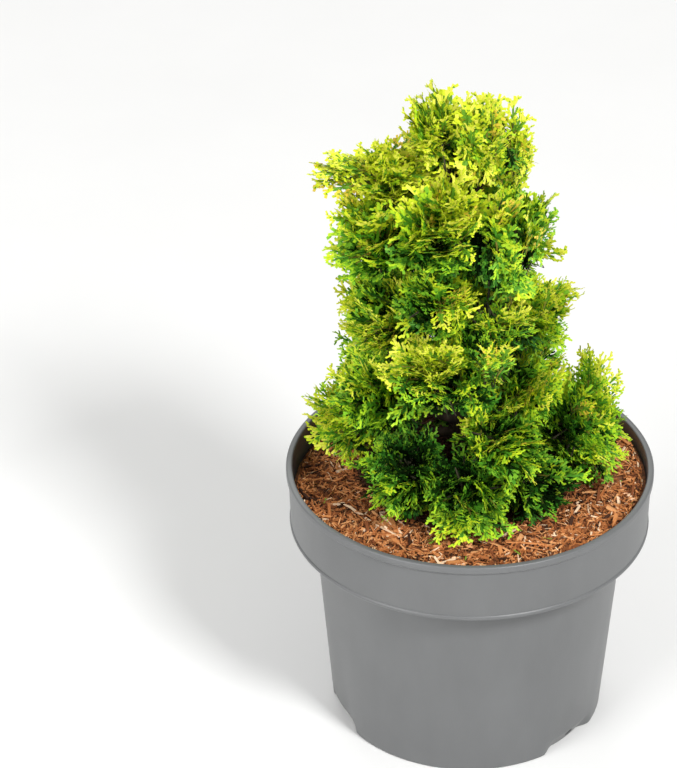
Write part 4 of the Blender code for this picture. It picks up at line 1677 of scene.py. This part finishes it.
@dataclass
class Pot:
    """The tapering pot with its deep collar, rounded lip and three drained foot notches."""

    height: float = 0.158
    rim_radius: float = 0.1035
    collar_foot_radius: float = 0.1012
    collar_height: float = 0.036
    neck_radius: float = 0.0880
    foot_radius: float = 0.0775
    wall: float = 0.0018
    floor: float = 0.0030
    lip_width: float = 0.0036
    lip_depth: float = 0.0042
    edge_round: float = 0.0010
    bead: float = 0.0006
    waist_height: float = 0.07
    neck_run: float = 0.003
    bead_run: float = 2.6
    lip_run: float = 1.3
    lip_round: float = 0.6
    sharp_angle: float = 38.0
    segments: int = 180
    foot_notches: tuple[float, ...] = (77.0, 197.0, 317.0)
    notch_half_angle: float = 16.0
    notch_height: float = 0.0105
    notch_depth: float = 0.0048
    notch_side_share: float = 0.45
    drain_radius: float = 0.0026
    drain_height: float = 0.0062
    drain_sides: int = 24
    drill_ends: tuple[float, float] = (-0.009, 0.012)
    finish: MottledFinish = MottledFinish(
        "pot_plastic_worn", (0.145, 0.149, 0.151), (0.124, 0.127, 0.129), 0.40, 34.0,
        (1.0, 1.0, 0.5), 0.25, 0.75, 1500.0, (1.0, 1.0, 1.0), 0.18, 0.0003,
    )

    def notch(self, angle: float, height: float) -> float:
        """How far the wall steps in at a foot notch.

        Args:
            angle: The angle round the pot.
            height: The height.

        Returns:
            The depth of the step.
        """
        if height >= self.notch_height:
            return 0.0
        nearest = min(abs((math.degrees(angle) - a + 180.0) % 360.0 - 180.0) for a in self.foot_notches)
        share = (self.notch_half_angle - nearest) / (self.notch_side_share * self.notch_half_angle)
        share = clamp(share)
        return self.notch_depth * share * share * (3.0 - 2.0 * share) * (1.0 - height / self.notch_height)

    def body_radius(self, height: float) -> float:
        """The tapering body's outer radius at a height below the collar."""
        share = height / (self.height - self.collar_height)
        return self.foot_radius + (self.neck_radius - self.foot_radius) * share

    def _profile(self) -> list[tuple[float, float]]:
        """The wall's outline as radius and height, from the foot's edge up, over the lip and down inside."""
        collar_foot = self.height - self.collar_height
        lip_foot = self.height - self.lip_depth
        inner = self.rim_radius - self.lip_width
        r = self.edge_round
        small = self.lip_round * r
        notch_tops = [self.notch_height * k / 8 for k in range(1, 9)]
        outline = arc((self.foot_radius - r, r), r, -90.0, 0.0)
        outline += [(self.body_radius(h), h) for h in notch_tops]
        outline += [(self.body_radius(h), h) for h in (self.waist_height, collar_foot - self.neck_run)]
        outline += arc((self.neck_radius + r, collar_foot - r), r, 180.0, 90.0)
        outline += arc((self.collar_foot_radius - r, collar_foot + r), r + self.bead, -90.0, 60.0, 8)
        outline += [(self.collar_foot_radius, collar_foot + self.bead_run * r)]
        outline += [(self.rim_radius - self.lip_run * r, lip_foot - r)]
        outline += arc((self.rim_radius - small, lip_foot + small), small, -60.0, 0.0)
        outline += arc((self.rim_radius - r, self.height - r), r, 0.0, 90.0)
        outline += arc((inner + r, self.height - r), r, 90.0, 180.0)
        outline += [(inner, lip_foot)]
        outline += [(self.collar_foot_radius - self.wall, collar_foot + self.wall)]
        outline += [(self.neck_radius - self.wall, collar_foot + self.wall)]
        outline += [(self.body_radius(h) - self.wall, h) for h in reversed(notch_tops)]
        outline += [(self.body_radius(self.floor) - self.wall, self.floor)]
        return outline

    def build(self) -> Object:
        """The pot's wall and floor, with its drain holes cut.

        Returns:
            The dressed piece.
        """
        rings = []
        for radius, height in self._profile():
            ring = []
            for k in range(self.segments):
                angle = 2.0 * math.pi * k / self.segments
                reach = radius - self.notch(angle, height)
                ring.append(Vector((reach * math.cos(angle), reach * math.sin(angle), height)))
            rings.append(ring)
        mesh = mesh_of("pot_shell", *lofted(rings))
        mesh.materials.append(self.finish.material())
        obj = add_object("pot_shell", mesh)
        drill = self._drills()
        cut = obj.modifiers.new("drains", "BOOLEAN")
        cut.operation = "DIFFERENCE"
        cut.object = drill
        baked(obj)
        bpy.data.objects.remove(drill)
        obj.data.shade_smooth()
        obj.data.set_sharp_from_angle(angle=math.radians(self.sharp_angle))
        return obj

    def _drills(self) -> Object:
        """Three short rods, one through the slope of each foot notch, joined as one cutter."""
        turns = [2.0 * math.pi * (k + 0.5) / self.drain_sides for k in range(self.drain_sides)]
        rods = []
        for degrees in self.foot_notches:
            outward = pointing(degrees, 0.0)
            across = UP.cross(outward)
            middle = outward * (self.foot_radius - self.notch_depth * 0.5) + UP * self.drain_height
            rods.append(lofted([
                [middle + outward * travel + (across * math.cos(t) + UP * math.sin(t)) * self.drain_radius
                 for t in turns]
                for travel in self.drill_ends
            ]))
        return add_object("drain_drills", mesh_of("drain_drills", *joined(rods)))


def arc(middle: tuple[float, float], radius: float, start: float, end: float, steps: int = 4) -> list:
    """Points on a round stretch of an outline.

    Args:
        middle: The arc's middle.
        radius: Its radius.
        start: The angle that it starts at, in degrees.
        end: The angle that it ends at.
        steps: How many runs it has.

    Returns:
        The points, with both ends.
    """
    turns = [math.radians(start + (end - start) * k / steps) for k in range(steps + 1)]
    return [(middle[0] + radius * math.cos(t), middle[1] + radius * math.sin(t)) for t in turns]


# A shred's corners round each ring, as shares of half its width and of half its thickness.
CHIP_CORNERS = ((-1.0, -1.0), (1.0, -0.6), (0.8, 1.0), (-0.9, 0.7))


@dataclass(frozen=True)
class ChipPattern:
    """A torn shred of bark: a bent splinter of four sides, slimmer at its ends."""

    seed: int
    length: float
    width: float
    thickness: float
    runs: int
    bow: tuple[float, float] = (-0.10, 0.16)
    tearing: tuple[float, float] = (0.7, 1.2)
    end_width: float = 0.35
    wander: float = 0.25
    skew: float = 0.2

    def build(self, name: str) -> Object:
        """The pattern along X, centred on its middle.

        Args:
            name: The object's name.

        Returns:
            The new object, in no scene.
        """
        rng = random.Random(self.seed)
        rings = []
        bow = rng.uniform(*self.bow) * self.length
        for k in range(self.runs + 1):
            share = k / self.runs
            slim = self.end_width + (1.0 - self.end_width) * math.sin(math.pi * (share * 0.8 + 0.1))
            half = self.width / 2 * slim * rng.uniform(*self.tearing)
            thick = self.thickness / 2 * rng.uniform(*self.tearing)
            x = (share - 0.5) * self.length
            z = bow * (0.25 - (share - 0.5) ** 2)
            y = rng.uniform(-self.wander, self.wander) * self.width
            skew = rng.uniform(-self.skew, self.skew) * self.width
            corners = [(half * across, thick * up) for across, up in CHIP_CORNERS]
            rings.append([Vector((x + skew * (dy > 0), y + dy, z + dz)) for dy, dz in corners])
        verts, faces = lofted(rings)
        return pattern_object(name, verts, faces, [0] * len(faces))


class Shred(Enum):
    """The kinds of torn bark: their usual length, their sizes in shares of it and their patterns' numbers."""

    CHIP = (0.0040, (0.50, 1.35), range(0, 8))
    FIBRE = (0.0066, (0.50, 1.30), range(8, 12))
    STRIP = (0.0210, (0.60, 1.25), range(12, 15))

    def __init__(self, length: float, sizes: tuple[float, float], variants: range) -> None:
        """Names the kind's values."""
        self.length, self.sizes, self.variants = length, sizes, variants


@dataclass
class Mulch:
    """The potting soil under a mulch of shredded bark: a rough bed with loose shreds over it."""

    pot: Pot
    rng: random.Random = field(default_factory=lambda: random.Random(SEED))
    edge_height: float = 0.1472
    edge_lean: float = 0.0040
    lean_way: float = -0.35
    crown_height: float = MULCH_CROWN
    relief: float = 0.0007
    flat_radius: float = 0.016
    flat_fade: float = 0.020
    segments: int = 128
    rings: int = 44
    shreds: int = 9400
    fibres: int = 3200
    strips: int = 36
    bundle: tuple[int, float, float, float, float] = (14, -0.0455, -0.0440, 0.0065, -1.10)
    leaf_bits: tuple[tuple[float, float], ...] = (
        (-0.0239, -0.0649), (0.0241, -0.0570), (0.0216, -0.0771), (-0.0067, -0.0828), (-0.0820, -0.0166),
    )
    # Painted shade under the crown: shreds round the trunk take one near-black brown.
    shade_radius: float = 0.063
    shade_lean: float = 0.013
    shade_tone: int = 4
    inmost: float = 0.013
    wall_gap: float = 0.0006
    shred_gap: float = 0.0012
    large_share: float = 0.05
    large_size: float = 2.2
    steep_share: float = 0.30
    steepest: float = 0.75
    usual_steep: float = 0.28
    strip_steep: float = 0.25
    shred_roll: float = 0.6
    edge_swing: float = 0.12
    strip_lift: float = 0.0012
    most_lift: float = 0.0014
    prop_share: float = 0.3
    leaf_lift: float = 0.0026
    pale_weight: float = 0.2
    waves: tuple[float, float, float, float] = (3.0, 9.0, 7.0, 14.0)
    small_wave: float = 0.6
    wave_level: float = 0.8
    bumps: tuple[tuple[float, float], ...] = ((0.0009, 160.0), (0.0005, 420.0))
    bump_level: float = 0.0006
    bed_finish: MottledFinish = MottledFinish(
        "mulch_bed", (0.360, 0.135, 0.052), (0.075, 0.027, 0.011), 0.95, 380.0,
        (1.0, 1.0, 1.0), 0.32, 0.62, 700.0, (1.0, 1.0, 1.0), 0.9, 0.0012,
    )
    shred_colours: tuple[Triple, ...] = (
        (0.430, 0.150, 0.045),
        (0.600, 0.240, 0.080),
        (0.220, 0.070, 0.023),
        (0.760, 0.370, 0.150),
        (0.050, 0.019, 0.009),
        (0.900, 0.650, 0.430),
        (0.200, 0.330, 0.030),
    )
    shred_weights: tuple[float, ...] = (0.30, 0.27, 0.14, 0.17, 0.05, 0.07, 0.002)
    # Painted shade in random patches, as of shaded hollows among the shreds.
    hollow_weights: tuple[float, ...] = (0.34, 0.12, 0.30, 0.06, 0.17, 0.01, 0.0)
    hollow_scale: float = 62.0
    hollow_level: float = -0.16
    strip_weights: tuple[float, ...] = (0.10, 0.25, 0.00, 0.35, 0.00, 0.30, 0.00)

    @property
    def edge(self) -> float:
        """The bed's radius against the pot's collar."""
        return self.pot.collar_foot_radius - self.pot.wall - CLEAR

    def height_at(self, radius: float, angle: float) -> float:
        """The uneven top of the mulch, flat round the trunk's foot.

        Args:
            radius: The distance from the pot's middle.
            angle: The angle round it.

        Returns:
            The height.
        """
        share = radius / self.edge
        edge = self.edge_height + self.edge_lean * math.cos(angle - self.lean_way)
        mound = self.crown_height + (edge - self.crown_height) * share**2
        round_large, out_large, round_small, out_small = self.waves
        waves = math.sin(round_large * angle + out_large * share)
        waves += self.small_wave * math.sin(round_small * angle - out_small * share)
        fade = clamp((radius - self.flat_radius) / self.flat_fade)
        return mound + self.relief * (waves - self.wave_level) * fade

    def _ring(self, radius: float, height: float) -> list[Vector]:
        """A level ring of the bed."""
        turns = [2.0 * math.pi * k / self.segments for k in range(self.segments)]
        return [Vector((radius * math.cos(t), radius * math.sin(t), height)) for t in turns]

    def build_bed(self) -> Object:
        """The soil down to the pot's floor, with a rough top.

        Returns:
            The dressed piece.
        """
        pot = self.pot
        above = pot.notch_height + pot.wall
        ledge = pot.height - pot.collar_height + pot.wall + CLEAR
        rings = [
            self._ring(pot.foot_radius - pot.notch_depth - 2.0 * pot.wall, pot.floor + CLEAR),
            self._ring(pot.body_radius(above) - pot.wall - CLEAR, above),
            self._ring(pot.neck_radius - pot.wall - CLEAR, ledge),
            self._ring(self.edge, ledge),
        ]
        for k in range(self.rings):
            radius = self.edge * (1.0 - k / self.rings)
            ring = self._ring(radius, 0.0)
            for i, point in enumerate(ring):
                point.z = self.height_at(radius, 2.0 * math.pi * i / self.segments)
                bumps = sum(size * noise.noise(point * scale) for size, scale in self.bumps)
                point.z += bumps - self.bump_level
            rings.append(ring)
        mesh = mesh_of("mulch_bed", *lofted(rings))
        mesh.shade_smooth()
        mesh.materials.append(self.bed_finish.material())
        return add_object("mulch_bed", mesh)

    def _finishes(self) -> list[Material]:
        """The plain browns that the shreds are dealt."""
        return [plain_material(f"bark_shred_{k}", c, 0.85) for k, c in enumerate(self.shred_colours)]

    def _patterns(self) -> list[Object]:
        """Eight small chips, four thin fibres and three long strips."""
        shapes = []
        for k in range(8):
            shapes.append(ChipPattern(500 + k, 0.0018 + 0.0003 * k, 0.0011 + 0.0002 * (k % 4), 0.0007, 1))
        shapes += [ChipPattern(600 + k, Shred.FIBRE.length, 0.00070, 0.0005, 2) for k in range(4)]
        shapes += [ChipPattern(700 + k, Shred.STRIP.length, 0.0017, 0.0009, 5) for k in range(3)]
        return [shape.build(f"shred_{k:02d}") for k, shape in enumerate(shapes)]

    def _copy(self, kind: Shred) -> Copy:
        """One shred, lying on the bed.

        Args:
            kind: The kind of shred.

        Returns:
            The copy.
        """
        rng = self.rng
        length = kind.length
        size = rng.uniform(*kind.sizes)
        size *= self.large_size if kind is Shred.CHIP and rng.random() < self.large_share else 1.0
        outmost = self.edge - self.wall_gap - self.shred_gap
        radius = math.sqrt(rng.uniform(self.inmost**2, outmost**2))
        angle = rng.uniform(0.0, 2.0 * math.pi)
        yaw = rng.uniform(0.0, math.pi)
        half = length * size / 2
        if radius + half * abs(math.cos(yaw - angle)) > outmost:
            yaw = angle + math.pi / 2 + rng.uniform(-self.edge_swing, self.edge_swing)
            size = min(size, math.sqrt(max(outmost**2 - radius**2, 1e-7)) * 2.0 / length, 1.0)
        steepest = self.steepest if rng.random() < self.steep_share else self.usual_steep
        steep = rng.uniform(-steepest, steepest)
        steep *= self.strip_steep if kind is Shred.STRIP else 1.0
        roll = rng.uniform(-self.shred_roll, self.shred_roll)
        lift = self.strip_lift if kind is Shred.STRIP else rng.uniform(0.0, self.most_lift)
        prop = self.prop_share * length * size * abs(math.sin(steep))
        height = self.height_at(radius, angle) + lift + prop
        place = Vector((radius * math.cos(angle), radius * math.sin(angle), height))
        # Painted shade: random patches of shreds take darker browns.
        hollow = noise.noise(place * self.hollow_scale) < self.hollow_level
        weights = self.hollow_weights if hollow else self.shred_weights
        if kind is Shred.STRIP:
            weights = self.strip_weights
        tone = rng.choices(range(len(weights)), weights)[0]
        # Painted shade under the crown.
        if (place - Vector((0.0, self.shade_lean, place.z))).length < self.shade_radius:
            tone = self.shade_tone
        shape = (size, size * rng.uniform(0.7, 1.3), size)
        return Copy(place, (roll, steep, yaw), shape, rng.choice(kind.variants), tone)

    def _bundle(self) -> list[Copy]:
        """A bundle of pale strips that lie side by side, and a few fallen bits of leaf.

        Returns:
            The copies.
        """
        rng = self.rng
        count, x, y, spread, yaw = self.bundle
        pale = [k for k, weight in enumerate(self.strip_weights) if weight > self.pale_weight]
        leaf_tone = len(self.shred_colours) - 1
        made = []
        for _ in range(count):
            place = Vector((x + rng.uniform(-spread, spread), y + rng.uniform(-spread, spread), 0.0))
            place.z = self.height_at(place.length, math.atan2(place.y, place.x)) + rng.uniform(0.0008, 0.0022)
            turn = (rng.uniform(-0.5, 0.5), rng.uniform(-0.06, 0.06), yaw + rng.uniform(-0.35, 0.35))
            size = rng.uniform(0.55, 1.05)
            shape = (size, size * rng.uniform(0.9, 1.6), size)
            made.append(Copy(place, turn, shape, rng.choice(Shred.STRIP.variants), rng.choice(pale)))
        for x, y in self.leaf_bits:
            place = Vector((x, y, 0.0))
            place.z = self.height_at(place.length, math.atan2(y, x)) + self.leaf_lift
            turn = (rng.uniform(-0.4, 0.4), rng.uniform(-0.1, 0.1), rng.uniform(0.0, math.pi))
            made.append(Copy(place, turn, (1.3, 1.0, 1.0), rng.choice(Shred.CHIP.variants), leaf_tone))
        return made

    def build_shreds(self) -> list[Object]:
        """The loose bark over the bed.

        Returns:
            One piece of chips and one of fibres and long strips.
        """
        scatter = Scatter("mulch_scatter", self._patterns(), self._finishes())
        chips = [self._copy(Shred.CHIP) for _ in range(self.shreds)]
        fibres = [self._copy(Shred.FIBRE) for _ in range(self.fibres)]
        fibres += [self._copy(Shred.STRIP) for _ in range(self.strips)]
        fibres += self._bundle()
        made = [scatter.piece("bark_shreds", chips), scatter.piece("bark_fibres", fibres)]
        scatter.clear()
        return made


@dataclass(frozen=True)
class Viewpoint:
    """The camera, at the photograph's viewing angle."""

    place: Triple = (-0.119, -1.780, 1.337)
    yaw: float = 1.46
    pitch: float = 32.28
    roll: float = -0.36
    lens: float = 177.94
    sensor: float = 36.0

    def build(self) -> None:
        """Places the scene's camera."""
        yaw, pitch, roll = (math.radians(a) for a in (self.yaw, self.pitch, self.roll))
        ahead = Vector((math.sin(yaw) * math.cos(pitch), math.cos(yaw) * math.cos(pitch), -math.sin(pitch)))
        level = Vector((math.cos(yaw), -math.sin(yaw), 0.0))
        upright = level.cross(ahead)
        right = level * math.cos(roll) + upright * math.sin(roll)
        up = upright * math.cos(roll) - level * math.sin(roll)
        data = bpy.data.cameras.new("camera")
        data.lens = self.lens
        data.sensor_width = self.sensor
        camera = bpy.data.objects.new("camera", data)
        bpy.context.scene.collection.objects.link(camera)
        turn = Matrix((right, up, -ahead)).transposed()
        camera.matrix_world = Matrix.Translation(self.place) @ turn.to_4x4()
        bpy.context.scene.camera = camera


@dataclass(frozen=True)
class Softbox:
    """One square area light that looks at the plant."""

    name: str
    place: Triple
    side: float
    power: float
    colour: Triple = (1.0, 1.0, 1.0)
    target: Triple = (0.0, 0.0, 0.20)

    def build(self) -> None:
        """Places the light."""
        data = bpy.data.lights.new(self.name, "AREA")
        data.size = self.side
        data.energy = self.power
        data.color = self.colour
        light = bpy.data.objects.new(self.name, data)
        bpy.context.scene.collection.objects.link(light)
        turn = (Vector(self.target) - Vector(self.place)).to_track_quat("-Z", "Y")
        light.matrix_world = Matrix.Translation(self.place) @ turn.to_matrix().to_4x4()


@dataclass
class Studio:
    """The pale floor, the soft lights and the even white surroundings."""

    floor_size: float = 14.0
    surroundings: float = 0.48
    floor_finish: MottledFinish = MottledFinish(
        "studio_floor", (0.84, 0.84, 0.83), (0.80, 0.80, 0.79), 0.9, 1.5, grain_strength=0.05,
    )
    lights: tuple[Softbox, ...] = (
        Softbox("key_light", (1.10, -1.70, 2.20), 0.6, 66.0),
        Softbox("fill_light", (-1.70, -1.50, 1.30), 1.4, 36.0),
        Softbox("back_light", (-0.30, 1.90, 2.00), 1.4, 16.0),
    )

    def build(self) -> Object:
        """The floor, the lights and the world.

        Returns:
            The floor.
        """
        half = self.floor_size / 2
        corners = [(-half, -half, 0.0), (half, -half, 0.0), (half, half, 0.0), (-half, half, 0.0)]
        mesh = mesh_of("floor", corners, [(0, 1, 2, 3)])
        mesh.materials.append(self.floor_finish.material())
        floor = add_object("floor", mesh)
        for light in self.lights:
            light.build()
        world = bpy.data.worlds.new("surroundings")
        world.use_nodes = True
        sky = world.node_tree.nodes["Background"]
        sky.inputs["Color"].default_value = (1.0, 1.0, 1.0, 1.0)
        sky.inputs["Strength"].default_value = self.surroundings
        bpy.context.scene.world = world
        bpy.context.scene.view_settings.view_transform = "Standard"
        return floor


def settle(piece: Object, slot: str, *nodes: str) -> None:
    """Puts a finished piece on the plant's body in place of nodes of the frame.

    Args:
        piece: The piece.
        slot: A material slot of the frame; not used.
        nodes: The nodes that it stands for.
    """
    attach(piece, BODY)
    if nodes:
        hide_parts(*nodes)
    triangles = sum(len(face.vertices) - 2 for face in piece.data.polygons)
    LOG.info("%s: %d triangles", piece.name, triangles)


def build_foliage(foliage: Foliage) -> None:
    """Grows every mass and joins its sprays by tier, with the wide skirt in a front and a back piece.

    Args:
        foliage: The masses, with their walls raised.
    """
    finishes = [finish.material() for tone in Tone for finish in tone.value]
    scatter = Scatter("spray_scatter", foliage.patterns(), finishes, len(Part))
    pieces: dict[str, tuple[str, list[str], list[Copy]]] = {}
    for mass in foliage.masses:
        name = f"sprays_{mass.tier.name}"
        if mass.tier.name == "skirt":
            name += "_back" if mass.centre.y > 0.0 else "_front"
        _, nodes, copies = pieces.setdefault(name, (mass.tier.name, [], []))
        nodes.append(f"foliage_{mass.name}")
        copies += foliage.grow(mass)
    for name, (tier, nodes, copies) in pieces.items():
        settle(scatter.piece(name, copies), f"foliage_{tier}", *nodes)
    scatter.clear()


def main() -> None:
    """Builds the potted plant's looks, piece by piece, and the studio round it."""
    logging.basicConfig(level=logging.INFO, format="%(name)s: %(message)s")
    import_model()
    pot = Pot()
    settle(pot.build(), "pot_plastic", "pot")
    mulch = Mulch(pot)
    settle(mulch.build_bed(), "bark_mulch", "soil")
    for piece in mulch.build_shreds():
        settle(piece, "bark_mulch")
    limbs = Limbs()
    lobes = [(tier, lobe) for tier in TIERS for lobe in tier.lobes]
    foliage = Foliage(Twigs(), masses=[Mass(tier, lobe, number) for number, (tier, lobe) in enumerate(lobes)])
    for mass in foliage.masses:
        limbs.lay_bough(mass)
    foliage.raise_walls()
    settle(limbs.build_trunk(), "stem_bark", "trunk")
    carried = [f"bough_{mass.name}" for mass in foliage.masses if mass.name != LEADER]
    settle(limbs.build_boughs(foliage.masses), "stem_bark", *carried)
    build_foliage(foliage)
    settle(foliage.twigs.build(), "stem_bark")
    Studio().build()
    Viewpoint().build()


if __name__ == "__main__":
    main()
